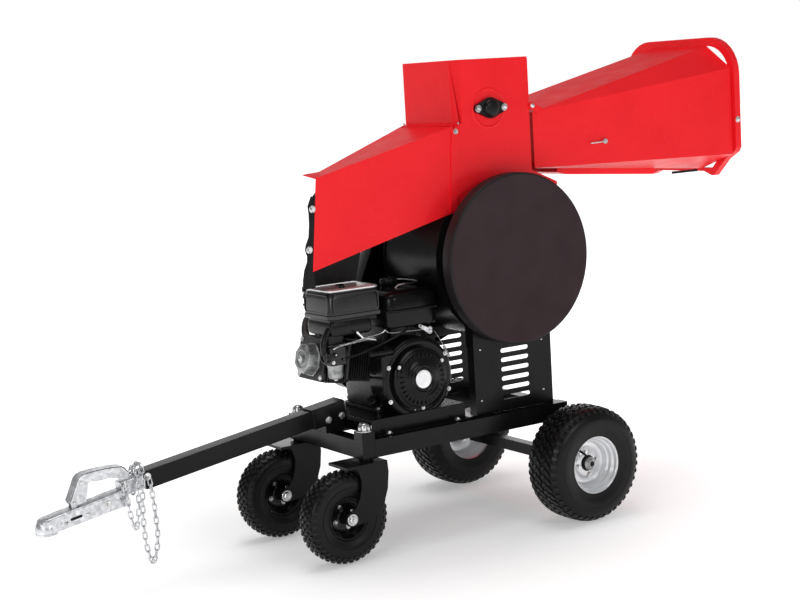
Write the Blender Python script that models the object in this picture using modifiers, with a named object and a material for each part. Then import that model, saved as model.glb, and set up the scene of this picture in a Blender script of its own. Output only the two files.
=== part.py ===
"""Towable petrol wood chipper, built from its separate pieces.

Metres, +Z up. The tow bar points to -X, the infeed funnel to +X, and the
engine's starter side faces -Y ("near"). The origin is on the ground at the
middle of the machine's bounding box. The machine is laid out from its rear
axle: every x below is counted from the axle, and the empty "machine" carries
it to its place.
"""

import math

import bmesh
import bpy
from mathutils import Matrix, Vector

# ---------------------------------------------------------------- dimensions
AXLE_X = 0.48507  # rear axle, from the middle of the bounding box
GAP = 0.0003  # between faces that touch

# drum housing and tower
HOUSE_X, HOUSE_Z = -0.150, 0.930  # rotor axis
HOUSE_R = 0.285
PLATE_Y, PLATE_T = 0.165, 0.005  # outer face and thickness of the side plates
TOWER_X0, TOWER_X1, TOWER_TOP = -0.305, -0.004, 1.618
FEED_X, FEED_Z = -0.1765, 1.449  # feed roller axis
HINGE_X, HINGE_Z = 0.0065, 1.446  # fold axis of the funnel

# frame
RAIL_Z0, RAIL_Z1 = 0.335, 0.395
RAIL_Y0, RAIL_Y1 = 0.1925, 0.2425
FRONT_X0, FRONT_X1 = -0.820, -0.770

# wheels
TYRE_R, TYRE_W, TRACK_Y = 0.203, 0.165, 0.3725
CASTER_R, CASTER_W = 0.155, 0.090
SWIVEL_X, SWIVEL_Y, TRAIL = -0.795, 0.2175, 0.0996

# engine and belt drive
CRANK_X, CRANK_Z = -0.548, 0.562
ROTOR_PULLEY_R, ENGINE_PULLEY_R = 0.150, 0.060
BELT_Y0, BELT_Y1 = 0.2118, 0.2462

# tow bar: a 60 mm square tube that slopes down to the hitch
BAR_SLOPE = math.atan(0.1475)
BAR_X0, BAR_X1, BAR = -1.500, -0.7485, 0.060


def bar_z(x):
    return 0.4476 + (x + 0.88) * 0.1475


# ------------------------------------------------------------------ finishes
FINISHES = {  # colour, roughness, metallic
    "red_paint": ((0.72, 0.012, 0.022), 0.32, 0.0),
    "black_paint": ((0.012, 0.012, 0.013), 0.35, 0.0),
    "cover_plum": ((0.032, 0.018, 0.021), 0.5, 0.0),
    "zinc": ((0.62, 0.63, 0.65), 0.35, 0.9),
    "steel": ((0.45, 0.45, 0.46), 0.4, 1.0),
    "alloy_grey": ((0.36, 0.37, 0.37), 0.45, 0.7),
    "engine_black": ((0.015, 0.015, 0.016), 0.4, 0.0),
    "exhaust_steel": ((0.05, 0.05, 0.05), 0.55, 0.6),
    "rubber": ((0.012, 0.012, 0.012), 0.8, 0.0),
    "tyre_rubber": ((0.014, 0.014, 0.014), 0.75, 0.0),
    "rim_white": ((0.75, 0.76, 0.78), 0.3, 0.2),
    "rim_black": ((0.014, 0.014, 0.015), 0.4, 0.0),
    "plastic_black": ((0.013, 0.013, 0.014), 0.45, 0.0),
    "knife_steel": ((0.5, 0.5, 0.52), 0.25, 1.0),
}

for old in list(bpy.data.objects):
    bpy.data.objects.remove(old, do_unlink=True)

parts = bpy.data.collections.new("wood_chipper")
helpers = bpy.data.collections.new("construction")
bpy.context.scene.collection.children.link(parts)
bpy.context.scene.collection.children.link(helpers)

machine = bpy.data.objects.new("machine", None)
machine.location = (AXLE_X, 0, 0)
parts.objects.link(machine)


def finish(slot):
    found = bpy.data.materials.get(slot)
    if found:
        return found
    colour, rough, metal = FINISHES[slot]
    m = bpy.data.materials.new(slot)
    m.use_nodes = True
    p = m.node_tree.nodes["Principled BSDF"]
    p.inputs["Base Color"].default_value = (*colour, 1)
    p.inputs["Roughness"].default_value = rough
    p.inputs["Metallic"].default_value = metal
    m.diffuse_color = (*colour, 1)
    return m


def place(name, data, slot):
    """A piece in the machine's frame, or a cutter if it has no finish."""
    o = bpy.data.objects.new(name, data)
    if slot:
        parts.objects.link(o)
        data.materials.append(finish(slot))
    else:
        helpers.objects.link(o)
        o.hide_render = True
        o.display_type = "WIRE"
    o.parent = machine
    return o


def from_bm(name, bm, slot=None):
    mesh = bpy.data.meshes.new(name)
    bmesh.ops.recalc_face_normals(bm, faces=bm.faces)
    bm.to_mesh(mesh)
    bm.free()
    return place(name, mesh, slot)


def box(name, lo, hi, slot=None, turn=None):
    """A block between two corners. turn moves it after it is made about its own middle."""
    bm = bmesh.new()
    bmesh.ops.create_cube(bm, size=1.0)
    size = Vector(hi) - Vector(lo)
    middle = (Vector(hi) + Vector(lo)) / 2
    bmesh.ops.scale(bm, vec=size, verts=bm.verts)
    if turn is None:
        bmesh.ops.translate(bm, vec=middle, verts=bm.verts)
    else:
        bmesh.ops.transform(bm, matrix=turn @ Matrix.Translation(middle), verts=bm.verts)
    return from_bm(name, bm, slot)


def rod(name, a, b, r, slot=None, seg=20, r2=None):
    """A cylinder, or a cone with r2, from point a to point b."""
    a, b = Vector(a), Vector(b)
    bm = bmesh.new()
    bmesh.ops.create_cone(
        bm,
        cap_ends=True,
        segments=seg,
        radius1=r,
        radius2=r if r2 is None else r2,
        depth=(b - a).length,
    )
    spin = (b - a).to_track_quat("Z", "Y").to_matrix().to_4x4()
    bmesh.ops.transform(bm, matrix=Matrix.Translation((a + b) / 2) @ spin, verts=bm.verts)
    return from_bm(name, bm, slot)


PLANES = {  # columns: where an outline's own x, y and normal point
    "XZ": Matrix(((1, 0, 0), (0, 0, -1), (0, 1, 0))),
    "YZ": Matrix(((0, 0, 1), (1, 0, 0), (0, 1, 0))),
    "XY": Matrix.Identity(3),
}


def plate(name, plane, outlines, lo, hi, slot=None, turn=None):
    """A flat outline, with holes, made solid between lo and hi across its plane."""
    curve = bpy.data.curves.new(name, "CURVE")
    curve.dimensions = "2D"
    curve.fill_mode = "BOTH"
    curve.extrude = (hi - lo) / 2
    for points in outlines:
        spline = curve.splines.new("POLY")
        spline.points.add(len(points) - 1)
        for p, (u, v) in zip(spline.points, points):
            p.co = (u, v, 0, 1)
        spline.use_cyclic_u = True
    holder = bpy.data.objects.new(name, curve)
    helpers.objects.link(holder)
    across = (lo + hi) / 2
    flip = PLANES[plane].to_4x4()
    along = flip.to_3x3() @ Vector((0, 0, 1))
    shift = along * (across if along[max(range(3), key=lambda i: abs(along[i]))] > 0 else -across)
    frame = Matrix.Translation(shift) @ flip
    return as_mesh(holder, name, slot, frame if turn is None else turn @ frame)


def as_mesh(holder, name, slot, frame):
    """The evaluated curve as a mesh piece, its loose caps welded."""
    bpy.context.view_layer.update()
    graph = bpy.context.evaluated_depsgraph_get()
    made = bpy.data.meshes.new_from_object(holder.evaluated_get(graph))
    bm = bmesh.new()
    bm.from_mesh(made)
    bmesh.ops.transform(bm, matrix=frame, verts=bm.verts)
    bmesh.ops.remove_doubles(bm, verts=bm.verts, dist=0.00002)
    bpy.data.objects.remove(holder, do_unlink=True)
    bpy.data.meshes.remove(made)
    return from_bm(name, bm, slot)


def tube(name, points, r, slot=None, sides=2, closed=False):
    """A round wire or pipe along a line of points."""
    curve = bpy.data.curves.new(name, "CURVE")
    curve.dimensions = "3D"
    curve.bevel_depth = r
    curve.bevel_resolution = sides
    curve.use_fill_caps = True
    spline = curve.splines.new("POLY")
    spline.points.add(len(points) - 1)
    for p, co in zip(spline.points, points):
        p.co = (*co, 1)
    spline.use_cyclic_u = closed
    holder = bpy.data.objects.new(name, curve)
    helpers.objects.link(holder)
    return as_mesh(holder, name, slot, Matrix.Identity(4))


AXES = {  # turns a profile's own axis to the machine's
    "Z": Matrix.Identity(4),
    "Y": Matrix.Rotation(-math.pi / 2, 4, "X"),
    "X": Matrix.Rotation(math.pi / 2, 4, "Y"),
}


def turned(name, profile, centre, axis, slot=None, steps=24):
    """A closed (radius, height) profile spun about an axis through centre.

    The profile is listed from the top of its outer side down, and back up
    along the bore or the axis."""
    bm = bmesh.new()
    verts = [bm.verts.new((r, 0, h)) for r, h in profile]
    bored = min(r for r, _ in profile) > 1e-6
    for a, b in zip(verts, verts[1:]):
        bm.edges.new((a, b))
    if bored:
        bm.edges.new((verts[-1], verts[0]))
    mesh = bpy.data.meshes.new(name)
    bm.to_mesh(mesh)
    bm.free()
    holder = bpy.data.objects.new(name, mesh)
    helpers.objects.link(holder)
    screw = holder.modifiers.new("spin", "SCREW")
    screw.axis = "Z"
    screw.angle = 2 * math.pi
    screw.steps = screw.render_steps = steps
    screw.use_merge_vertices = True
    screw.merge_threshold = 0.00001
    return as_mesh(holder, name, slot, Matrix.Translation(Vector(centre)) @ AXES[axis])


def boolean(target, other, operation):
    m = target.modifiers.new(operation.lower(), "BOOLEAN")
    m.operation = operation
    m.solver = "EXACT"
    m.object = other
    return target


def cut(target, *others):
    for o in others:
        boolean(target, o, "DIFFERENCE")
    return target


def fuse(target, *others):
    for o in others:
        boolean(target, o, "UNION")
    return target


def settle(o):
    """The piece with its modifiers worked in, as a plain mesh of the same name."""
    bpy.context.view_layer.update()
    graph = bpy.context.evaluated_depsgraph_get()
    made = bpy.data.meshes.new_from_object(o.evaluated_get(graph))
    o.modifiers.clear()
    old = o.data
    o.data = made
    bpy.data.meshes.remove(old)
    bm = bmesh.new()
    bm.from_mesh(made)
    bmesh.ops.remove_doubles(bm, verts=bm.verts, dist=0.00001)
    bm.to_mesh(made)
    bm.free()
    return o


def soften(o, width, segments=1, angle=40):
    """Rounded edges on a piece that has its final shape."""
    m = o.modifiers.new("edges", "BEVEL")
    m.width = width
    m.segments = segments
    m.limit_method = "ANGLE"
    m.angle_limit = math.radians(angle)
    return o


def pivot(name, point, pieces, parent=None):
    """An empty on a joint's axis that carries the pieces which turn or slide on it."""
    empty = bpy.data.objects.new(name, None)
    parts.objects.link(empty)
    base = parent or machine
    base_at = Vector(base["at"]) if "at" in base else Vector((0, 0, 0))
    empty.parent = base
    empty["at"] = list(point)
    empty.location = Vector(point) - base_at
    for o in pieces:
        settle(o)
        o.data.transform(Matrix.Translation(-Vector(point)))
        o.parent = empty
    return empty


def circle(cx, cy, r, n=16, start=0.0):
    return [
        (cx + r * math.cos(start + 2 * math.pi * i / n), cy + r * math.sin(start + 2 * math.pi * i / n))
        for i in range(n)
    ]


def arc(cx, cy, r, a0, a1, n):
    """Points on an arc from a0 to a1 degrees, both ends included."""
    return [
        (cx + r * math.cos(math.radians(a0 + (a1 - a0) * i / n)), cy + r * math.sin(math.radians(a0 + (a1 - a0) * i / n)))
        for i in range(n + 1)
    ]


def two_pulley_outline(r1, r2, n=32):
    """The line of a belt round the rotor pulley (r1) and the engine pulley (r2)."""
    dx, dz = HOUSE_X - CRANK_X, HOUSE_Z - CRANK_Z
    away = math.hypot(dx, dz)
    toward = math.degrees(math.atan2(dz, dx))
    lean = math.degrees(math.acos((r1 - r2) / away))
    big = arc(HOUSE_X, HOUSE_Z, r1, toward + 180 + lean - 360, toward + 180 - lean, n)
    small = arc(CRANK_X, CRANK_Z, r2, toward + 180 - lean, toward + 180 + lean, n // 3)
    return big + small


def smooth_line(knots, step):
    """Points about step apart on a smooth curve through the knots (centripetal spline)."""
    k = [Vector(p) for p in knots]
    k = [k[0] * 2 - k[1]] + k + [k[-1] * 2 - k[-2]]
    out = []
    for i in range(1, len(k) - 2):
        p0, p1, p2, p3 = k[i - 1 : i + 3]
        t0 = 0.0
        t1 = t0 + max((p1 - p0).length, 1e-9) ** 0.5
        t2 = t1 + max((p2 - p1).length, 1e-9) ** 0.5
        t3 = t2 + max((p3 - p2).length, 1e-9) ** 0.5
        n = max(1, round((p2 - p1).length / step))
        for j in range(n):
            t = t1 + (t2 - t1) * j / n
            a1 = p0 * ((t1 - t) / (t1 - t0)) + p1 * ((t - t0) / (t1 - t0))
            a2 = p1 * ((t2 - t) / (t2 - t1)) + p2 * ((t - t1) / (t2 - t1))
            a3 = p2 * ((t3 - t) / (t3 - t2)) + p3 * ((t - t2) / (t3 - t2))
            b1 = a1 * ((t2 - t) / (t2 - t0)) + a2 * ((t - t0) / (t2 - t0))
            b2 = a2 * ((t3 - t) / (t3 - t1)) + a3 * ((t - t1) / (t3 - t1))
            out.append(b1 * ((t2 - t) / (t2 - t1)) + b2 * ((t - t1) / (t2 - t1)))
    out.append(k[-2])
    return out


def y_side(side, near_lo, near_hi):
    """A span in y on the near side (-1), or its mirror on the far side (+1)."""
    return (near_lo, near_hi) if side < 0 else (-near_hi, -near_lo)


SIDES = (("near", -1), ("far", 1))

# --------------------------------------------------------------------- frame
for where, side in SIDES:
    lo, hi = y_side(side, -RAIL_Y1, -RAIL_Y0)
    rail = box(f"frame_rail_{where}", (FRONT_X1 + GAP, lo, RAIL_Z0), (0.045, hi, RAIL_Z1), "black_paint")
    cut(rail, box(f"rail_bore_{where}", (-0.9, lo + 0.004, RAIL_Z0 + 0.004), (0.1, hi - 0.004, RAIL_Z1 - 0.004)))
    # a shallow groove ends the jacking face ahead of the axle's seat
    cut(rail, box(f"rail_groove_{where}", (-0.0360, lo - 0.01, RAIL_Z0 - 0.01), (-0.0340, hi + 0.01, RAIL_Z0 + 0.0006)))

# The front beam carries the two caster sockets, welded to its ends.
front = box("frame_front_beam", (FRONT_X0, -RAIL_Y0 - 0.002, RAIL_Z0), (FRONT_X1, RAIL_Y0 + 0.002, RAIL_Z1), "black_paint")
for where, side in SIDES:
    fuse(front, box(f"socket_{where}", (FRONT_X0, side * SWIVEL_Y - 0.025, 0.334), (FRONT_X1, side * SWIVEL_Y + 0.025, 0.425)))
for where, side in SIDES:
    cut(front, rod(f"socket_bore_{where}", (SWIVEL_X, side * SWIVEL_Y, 0.32), (SWIVEL_X, side * SWIVEL_Y, 0.44), 0.0154, seg=24))

rear = box("frame_rear_beam", (-0.012, -RAIL_Y0 + GAP, RAIL_Z0), (0.038, RAIL_Y0 - GAP, RAIL_Z1), "black_paint")
cut(rear, box("rear_beam_bore", (-0.008, -0.3, RAIL_Z0 + 0.004), (0.034, 0.3, RAIL_Z1 - 0.004)))

hat = [
    (-0.225, RAIL_Z1 + GAP), (-0.181, RAIL_Z1 + GAP), (-0.181, 0.443), (0.181, 0.443),
    (0.181, RAIL_Z1 + GAP), (0.225, RAIL_Z1 + GAP), (0.225, 0.3993), (0.185, 0.3993),
    (0.185, 0.447), (-0.185, 0.447), (-0.185, 0.3993), (-0.225, 0.3993),
]
plate("engine_base_plate", "YZ", [hat], -0.7447, -0.360, "black_paint")

# ------------------------------------------------ louvred base under the drum
SLOT_X0, SLOT_X1, SLOT_H = -0.210, -0.088, 0.015
SLOT_Z = [0.608 - 0.033 * i for i in range(6)]
for where, side in SIDES:
    slots = []
    for z in SLOT_Z:
        r = SLOT_H / 2
        slots.append(arc(SLOT_X1 - r, z, r, -90, 90, 3) + arc(SLOT_X0 + r, z, r, 90, 270, 3))
    lo, hi = y_side(side, -0.203, -0.200)
    outline = [(-0.325, RAIL_Z1 + GAP), (0.013, RAIL_Z1 + GAP), (0.013, 0.740), (-0.325, 0.740)]
    panel = plate(f"base_panel_{where}", "XZ", [outline] + slots, lo, hi, "black_paint")
    flo, fhi = y_side(side, -0.2015, -PLATE_Y - GAP)
    fuse(
        panel,
        box(f"panel_flange_a_{where}", (-0.325, flo, RAIL_Z1 + GAP), (-0.322, fhi, 0.740)),
        box(f"panel_flange_b_{where}", (0.010, flo, RAIL_Z1 + GAP), (0.013, fhi, 0.740)),
    )

# ------------------------------------------------------- drum housing, tower
side_outline = (
    [(TOWER_X0, TOWER_TOP), (TOWER_X0, 1.402), (-0.3285, 1.3948), (-0.3525, 1.1005)]
    + arc(HOUSE_X, HOUSE_Z, HOUSE_R, 145.5, 232.1, 12)
    + [(-0.325, 0.632), (0.013, 0.632)]
    + arc(HOUSE_X, HOUSE_Z, HOUSE_R, 304.9, 390, 12)
    + [(0.107, 1.173), (TOWER_X1, 1.2225)]
    + arc(HINGE_X, HINGE_Z, 0.014, -138.6, 138.6, 10)
    + [(TOWER_X1, TOWER_TOP)]
)
for where, side in SIDES:
    lo, hi = y_side(side, -PLATE_Y, -PLATE_Y + PLATE_T)
    plate(
        f"housing_side_{where}",
        "XZ",
        [
            side_outline,
            circle(HOUSE_X, HOUSE_Z, 0.030, 20),
            circle(FEED_X, FEED_Z, 0.016, 16),
            circle(HINGE_X, HINGE_Z, 0.0054, 12),
        ],
        lo,
        hi,
        "red_paint",
    )

INNER_Y = PLATE_Y - PLATE_T - GAP
band = (
    arc(HOUSE_X, HOUSE_Z, HOUSE_R - 0.0053, 144.6, 418.6, 30)
    + [(-0.0043, 1.2222), (-0.0093, 1.2222)]
    + arc(HOUSE_X, HOUSE_Z, HOUSE_R - 0.0103, 419.2, 144.6, 30)
)
plate("housing_band", "XZ", [band], -INNER_Y, INNER_Y, "black_paint")

cap = [
    (TOWER_X0, 1.4045), (-0.3320, 1.3975), (-0.3312, 1.3935), (TOWER_X0 + 0.004, 1.4005), (TOWER_X0 + 0.004, TOWER_TOP - 0.004),
    (TOWER_X1 - 0.004, TOWER_TOP - 0.004), (TOWER_X1 - 0.004, 1.4635), (TOWER_X1, 1.4635),
    (TOWER_X1, TOWER_TOP), (TOWER_X0, TOWER_TOP),
]
plate("tower_cap", "XZ", [cap], -INNER_Y, INNER_Y, "red_paint")

# --------------------------------------------------------------- drum and feed
rotor = turned(
    "rotor",
    [
        (0, 0.262), (0.025, 0.262), (0.025, 0.145), (0.235, 0.145), (0.235, 0.133), (0.040, 0.133),
        (0.040, 0.006), (0.235, 0.006), (0.235, -0.006), (0.040, -0.006), (0.040, -0.133),
        (0.235, -0.133), (0.235, -0.145), (0.025, -0.145), (0.025, -0.206), (0, -0.206),
    ],
    (HOUSE_X, 0, HOUSE_Z),
    "Y",
    "steel",
    22,
)
for i, s in enumerate((1, -1)):
    x0, x1 = sorted((HOUSE_X + s * 0.150, HOUSE_X + s * 0.230))
    fuse(rotor, box(f"knife_seat_{i}", (x0, -0.144, HOUSE_Z - 0.0125), (x1, 0.144, HOUSE_Z + 0.0125)))
    x0, x1 = sorted((HOUSE_X + s * 0.195, HOUSE_X + s * 0.300))
    z0, z1 = sorted((HOUSE_Z + s * 0.0122, HOUSE_Z + s * 0.0240))
    cut(rotor, box(f"knife_notch_{i}", (x0, -0.2, z0), (x1, 0.2, z1)))
knives = []
for letter, s in (("a", 1), ("b", -1)):
    edge = [(0.1955, 0.0125), (0.268, 0.0125), (0.262, 0.0220), (0.1955, 0.0230)]
    outline = [(HOUSE_X + s * u, HOUSE_Z + s * v) for u, v in edge]
    knives.append(plate(f"rotor_knife_{letter}", "XZ", [outline], -0.148, 0.148, "knife_steel"))

box("bed_knife", (-0.050, -0.1590, 1.182), (-0.0096, 0.1590, 1.194), "knife_steel")

feed = turned(
    "feed_roller",
    [
        (0, 0.1885), (0.0125, 0.1885), (0.0125, 0.150), (0.020, 0.150), (0.020, 0.006), (0.078, 0.006),
        (0.078, 0.150), (0.085, 0.150), (0.085, -0.150), (0.078, -0.150), (0.078, -0.006),
        (0.020, -0.006), (0.020, -0.150), (0.0125, -0.150), (0.0125, -0.1885), (0, -0.1885),
    ],
    (FEED_X, 0, FEED_Z),
    "Y",
    "steel",
    18,
)
for i in range(6):
    a = math.radians(60 * i + 30)
    rib = box(
        f"feed_rib_{i}",
        (0.082, -0.146, -0.004),
        (0.098, 0.146, 0.004),
        turn=Matrix.Translation((FEED_X, 0, FEED_Z)) @ Matrix.Rotation(a, 4, "Y"),
    )
    fuse(feed, rib)

for where, side in SIDES:
    lo, hi = y_side(side, -0.1770, -PLATE_Y - GAP)
    wings = (
        arc(FEED_X + 0.056, FEED_Z, 0.013, -60, 60, 4)
        + arc(FEED_X, FEED_Z, 0.036, 65, 115, 3)
        + arc(FEED_X - 0.056, FEED_Z, 0.013, 120, 240, 4)
        + arc(FEED_X, FEED_Z, 0.036, 245, 295, 3)
    )
    flange = plate(f"feed_bearing_{where}", "XZ", [wings], lo, hi, "black_paint")
    fuse(flange, rod(f"feed_boss_{where}", (FEED_X, side * 0.1660, FEED_Z), (FEED_X, side * 0.1900, FEED_Z), 0.027, seg=24))
    cut(flange, rod(f"feed_boss_bore_{where}", (FEED_X, side * 0.16, FEED_Z), (FEED_X, side * 0.2, FEED_Z), 0.0128, seg=24))

    b0, b1 = sorted((side * (PLATE_Y + GAP), side * 0.2000))
    turned(
        f"rotor_bearing_{where}",
        [(0.055, b1), (0.055, b0), (0.0253, b0), (0.0253, b1)],
        (HOUSE_X, 0, HOUSE_Z),
        "Y",
        "black_paint",
        24,
    )

# ------------------------------------------------------------------ belt drive
rotor_pulley = turned(
    "rotor_pulley",
    [
        (ROTOR_PULLEY_R, 0.250), (ROTOR_PULLEY_R, BELT_Y1 + GAP), (0.1400, BELT_Y1 + GAP), (0.1400, BELT_Y0 - GAP),
        (ROTOR_PULLEY_R, BELT_Y0 - GAP), (ROTOR_PULLEY_R, 0.208), (0.130, 0.208), (0.130, 0.224),
        (0.045, 0.224), (0.045, 0.208), (0.0253, 0.208), (0.0253, 0.250), (0.045, 0.250), (0.045, 0.234),
        (0.130, 0.234), (0.130, 0.250),
    ],
    (HOUSE_X, 0, HOUSE_Z),
    "Y",
    "steel",
    24,
)
turned(
    "engine_pulley",
    [
        (ENGINE_PULLEY_R, 0.250), (ENGINE_PULLEY_R, BELT_Y1 + GAP), (0.0500, BELT_Y1 + GAP), (0.0500, BELT_Y0 - GAP),
        (ENGINE_PULLEY_R, BELT_Y0 - GAP), (ENGINE_PULLEY_R, 0.208), (0.0128, 0.208), (0.0128, 0.250),
    ],
    (CRANK_X, 0, CRANK_Z),
    "Y",
    "steel",
    20,
)
plate(
    "drive_belt",
    "XZ",
    [two_pulley_outline(0.1512, 0.0612, 24), two_pulley_outline(0.1412, 0.0512, 24)],
    BELT_Y0,
    BELT_Y1,
    "rubber",
)

guard = plate("belt_guard", "XZ", [two_pulley_outline(0.298, 0.090, 30)], 0.2037, 0.2700, "black_paint")
cut(guard, plate("guard_hollow", "XZ", [two_pulley_outline(0.295, 0.0872, 30)], 0.19, 0.2670))
for i, a in enumerate((62, 122, -18)):
    x, z = HOUSE_X + 0.250 * math.cos(math.radians(a)), HOUSE_Z + 0.250 * math.sin(math.radians(a))
    fuse(guard, rod(f"guard_post_{i}", (x, PLATE_Y + GAP, z), (x, 0.2685, z), 0.008, seg=12))

cover = turned(
    "round_cover",
    [
        (0, -0.2670), (0.2910, -0.2670), (0.2935, -0.2645), (0.2935, -0.2205),
        (0.2965, -0.2205), (0.2965, -0.2655), (0.2920, -0.2700), (0, -0.2700),
    ],
    (HOUSE_X, 0, HOUSE_Z),
    "Y",
    "cover_plum",
    44,
)
for i, a in enumerate((90, 210, 330)):
    x, z = HOUSE_X + 0.255 * math.cos(math.radians(a)), HOUSE_Z + 0.255 * math.sin(math.radians(a))
    fuse(cover, rod(f"cover_post_{i}", (x, -0.2685, z), (x, -PLATE_Y - GAP, z), 0.008, seg=12))

# ------------------------------------------------------------ discharge chute
def loft(name, rings, thickness, slot):
    """A sheet-metal duct: rings of the same number of corners joined by flat panels."""
    bm = bmesh.new()
    rows = [[bm.verts.new(p) for p in ring] for ring in rings]
    n = len(rows[0])
    for a, b in zip(rows, rows[1:]):
        for i in range(n):
            bm.faces.new((a[i], a[(i + 1) % n], b[(i + 1) % n], b[i]))
    o = from_bm(name, bm, slot)
    m = o.modifiers.new("sheet", "SOLIDIFY")
    m.thickness = thickness
    m.offset = -1
    m.use_even_offset = True
    return settle(o)


chute = loft(
    "chute_body",
    [
        [(-0.3572, -0.1650, 1.1013), (-0.3572, 0.1650, 1.1013), (-0.3332, 0.1650, 1.3950), (-0.3332, -0.1650, 1.3950)],
        [(-0.9090, -0.1500, 0.9620), (-0.8580, -0.0720, 0.9620), (-0.8240, -0.0720, 1.2760), (-0.8750, -0.1500, 1.2640)],
    ],
    0.003,
    "red_paint",
)
for where, side in SIDES:
    # a bolting strip lies on the outside of the side plate
    lo, hi = y_side(side, -0.1685, -PLATE_Y - GAP)
    strip = [(-0.3660, 1.1050), (-0.3330, 1.1140), (-0.3090, 1.3940), (-0.3420, 1.3860)]
    fuse(chute, plate(f"chute_strip_{where}", "XZ", [strip], lo, hi))
    lo, hi = y_side(side, -0.1685, -PLATE_Y + 0.0025)
    root = [(-0.3660, 1.1050), (-0.3592, 1.1070), (-0.3354, 1.3860), (-0.3420, 1.3860)]
    fuse(chute, plate(f"chute_root_{where}", "XZ", [root], lo, hi))

# the top sheet runs on as a pointed lip over the slanted mouth
lip = bmesh.new()
low = [(-0.8700, -0.1496, 1.2632), (-0.8790, -0.1496, 1.2612), (-0.8790, -0.0720, 1.2710), (-0.8150, -0.0735, 1.2762)]
rows = [[lip.verts.new((x, y, z + h)) for x, y, z in low] for h in (0.0, 0.0030)]
lip.faces.new(rows[0][::-1])
lip.faces.new(rows[1])
for i in range(4):
    j = (i + 1) % 4
    lip.faces.new((rows[0][i], rows[0][j], rows[1][j], rows[1][i]))
bmesh.ops.recalc_face_normals(lip, faces=lip.faces)
fuse(chute, from_bm("chute_lip", lip))

# the flap hangs across the slanted mouth: u runs along it, lean up it and inward into the chute
u = Vector((0.051, 0.078, 0)).normalized()
lean = Vector((0.172, 0, 1.0)).normalized()
inward = u.cross(lean).normalized()
across = Matrix((
    (u.x, lean.x, inward.x, -0.9353), (u.y, lean.y, inward.y, -0.1500), (u.z, lean.z, inward.z, 0.9050), (0, 0, 0, 1),
))
box("chute_flap", (-0.0040, 0.0000, -0.0070), (0.1500, 0.3075, -0.0022), "rubber", turn=across)

# --------------------------------------------------------------- infeed funnel
THROAT = [(-0.165, 1.227), (0.165, 1.227), (0.165, 1.423), (-0.165, 1.423)]
MOUTH = [
    (-0.117, 1.159), (0.117, 1.159), (0.285, 1.215), (0.285, 1.535),
    (0.162, 1.6220), (-0.162, 1.6220), (-0.285, 1.535), (-0.285, 1.215),
]
THROAT_X, MOUTH_X = 0.010, 0.8592
bm = bmesh.new()
t = [bm.verts.new((THROAT_X, y, z)) for y, z in THROAT]
m = [bm.verts.new((MOUTH_X, y, z)) for y, z in MOUTH]
for face in (
    (t[0], t[1], m[1], m[0]), (t[1], m[2], m[1]), (t[1], t[2], m[3], m[2]), (t[2], m[4], m[3]),
    (t[2], t[3], m[5], m[4]), (t[3], m[6], m[5]), (t[3], t[0], m[7], m[6]), (t[0], m[0], m[7]),
):
    bm.faces.new(face)
funnel = from_bm("infeed_funnel", bm, "red_paint")
sheet = funnel.modifiers.new("sheet", "SOLIDIFY")
sheet.thickness = 0.003
sheet.offset = -1
sheet.use_even_offset = True
settle(funnel)
tray = [(0.154, 1.2170), (0.154, 1.2000), (0.200, 1.1890), (0.610, 1.1570), (0.623, 1.1620), (0.623, 1.1795)]
fuse(funnel, plate("funnel_tray", "XZ", [tray], -0.110, 0.110))
for where, side in SIDES:
    ear = (
        arc(HINGE_X, HINGE_Z, 0.014, 90, 270, 8) + [(0.060, 1.405), (0.060, 1.430)]
    )
    lo, hi = y_side(side, -0.1700, -PLATE_Y - GAP)
    fuse(funnel, plate(f"funnel_ear_{where}", "XZ", [ear], lo, hi))
    lo, hi = y_side(side, -0.1700, -PLATE_Y + 0.0020)
    fuse(funnel, box(f"funnel_ear_root_{where}", (0.024, lo, 1.412), (0.058, hi, 1.421)))
for where, side in SIDES:
    cut(funnel, rod(f"funnel_ear_bore_{where}", (HINGE_X, side * 0.15, HINGE_Z), (HINGE_X, side * 0.2, HINGE_Z), 0.0054, seg=12))
# the hook's pivot stud on the near wall
fuse(funnel, rod("hook_stud", (0.297, -0.2000, 1.302), (0.297, -0.2190, 1.302), 0.004, seg=12))


def hoop(half, top, radius, lower):
    """The funnel's hoop: straight sides and round upper corners, and a lower line given for one side."""
    left = [(-y, z) for y, z in lower]
    return (
        arc(half - radius, top - radius, radius, 0, 90, 8)
        + arc(-half + radius, top - radius, radius, 90, 180, 8)
        + left
        + lower[::-1]
    )


rim = plate(
    "funnel_rim",
    "YZ",
    [
        hoop(0.300, 1.653, 0.140, [(0.300, 1.2400), (0.2900, 1.2230), (0.2415, 1.1950), (0.1780, 1.1330), (0.1650, 1.1330), (0.1250, 1.1485)]),
        hoop(0.272, 1.621, 0.112, [(0.272, 1.2560), (0.2640, 1.2430), (0.2240, 1.2160), (0.1720, 1.1640), (0.1640, 1.1610), (0.1250, 1.1610)]),
    ],
    0.8610,
    0.8890,
    "red_paint",
)

pin = rod("funnel_hinge_pin", (HINGE_X, -0.1760, HINGE_Z), (HINGE_X, 0.1760, HINGE_Z), 0.0050, "steel", 16)
fuse(
    pin,
    rod("pin_head_a", (HINGE_X, -0.1703, HINGE_Z), (HINGE_X, -0.1770, HINGE_Z), 0.0095, seg=6),
    rod("pin_head_b", (HINGE_X, 0.1703, HINGE_Z), (HINGE_X, 0.1770, HINGE_Z), 0.0095, seg=6),
)

hook = rod("funnel_latch_hook", (0.297, -0.2130, 1.302), (0.230, -0.2130, 1.2995), 0.0028, "zinc", 10)
fuse(hook, rod("hook_eye", (0.297, -0.2090, 1.302), (0.297, -0.2170, 1.302), 0.0095, seg=20))
cut(hook, rod("hook_eye_bore", (0.297, -0.20, 1.302), (0.297, -0.24, 1.302), 0.0043, seg=16))

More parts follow.
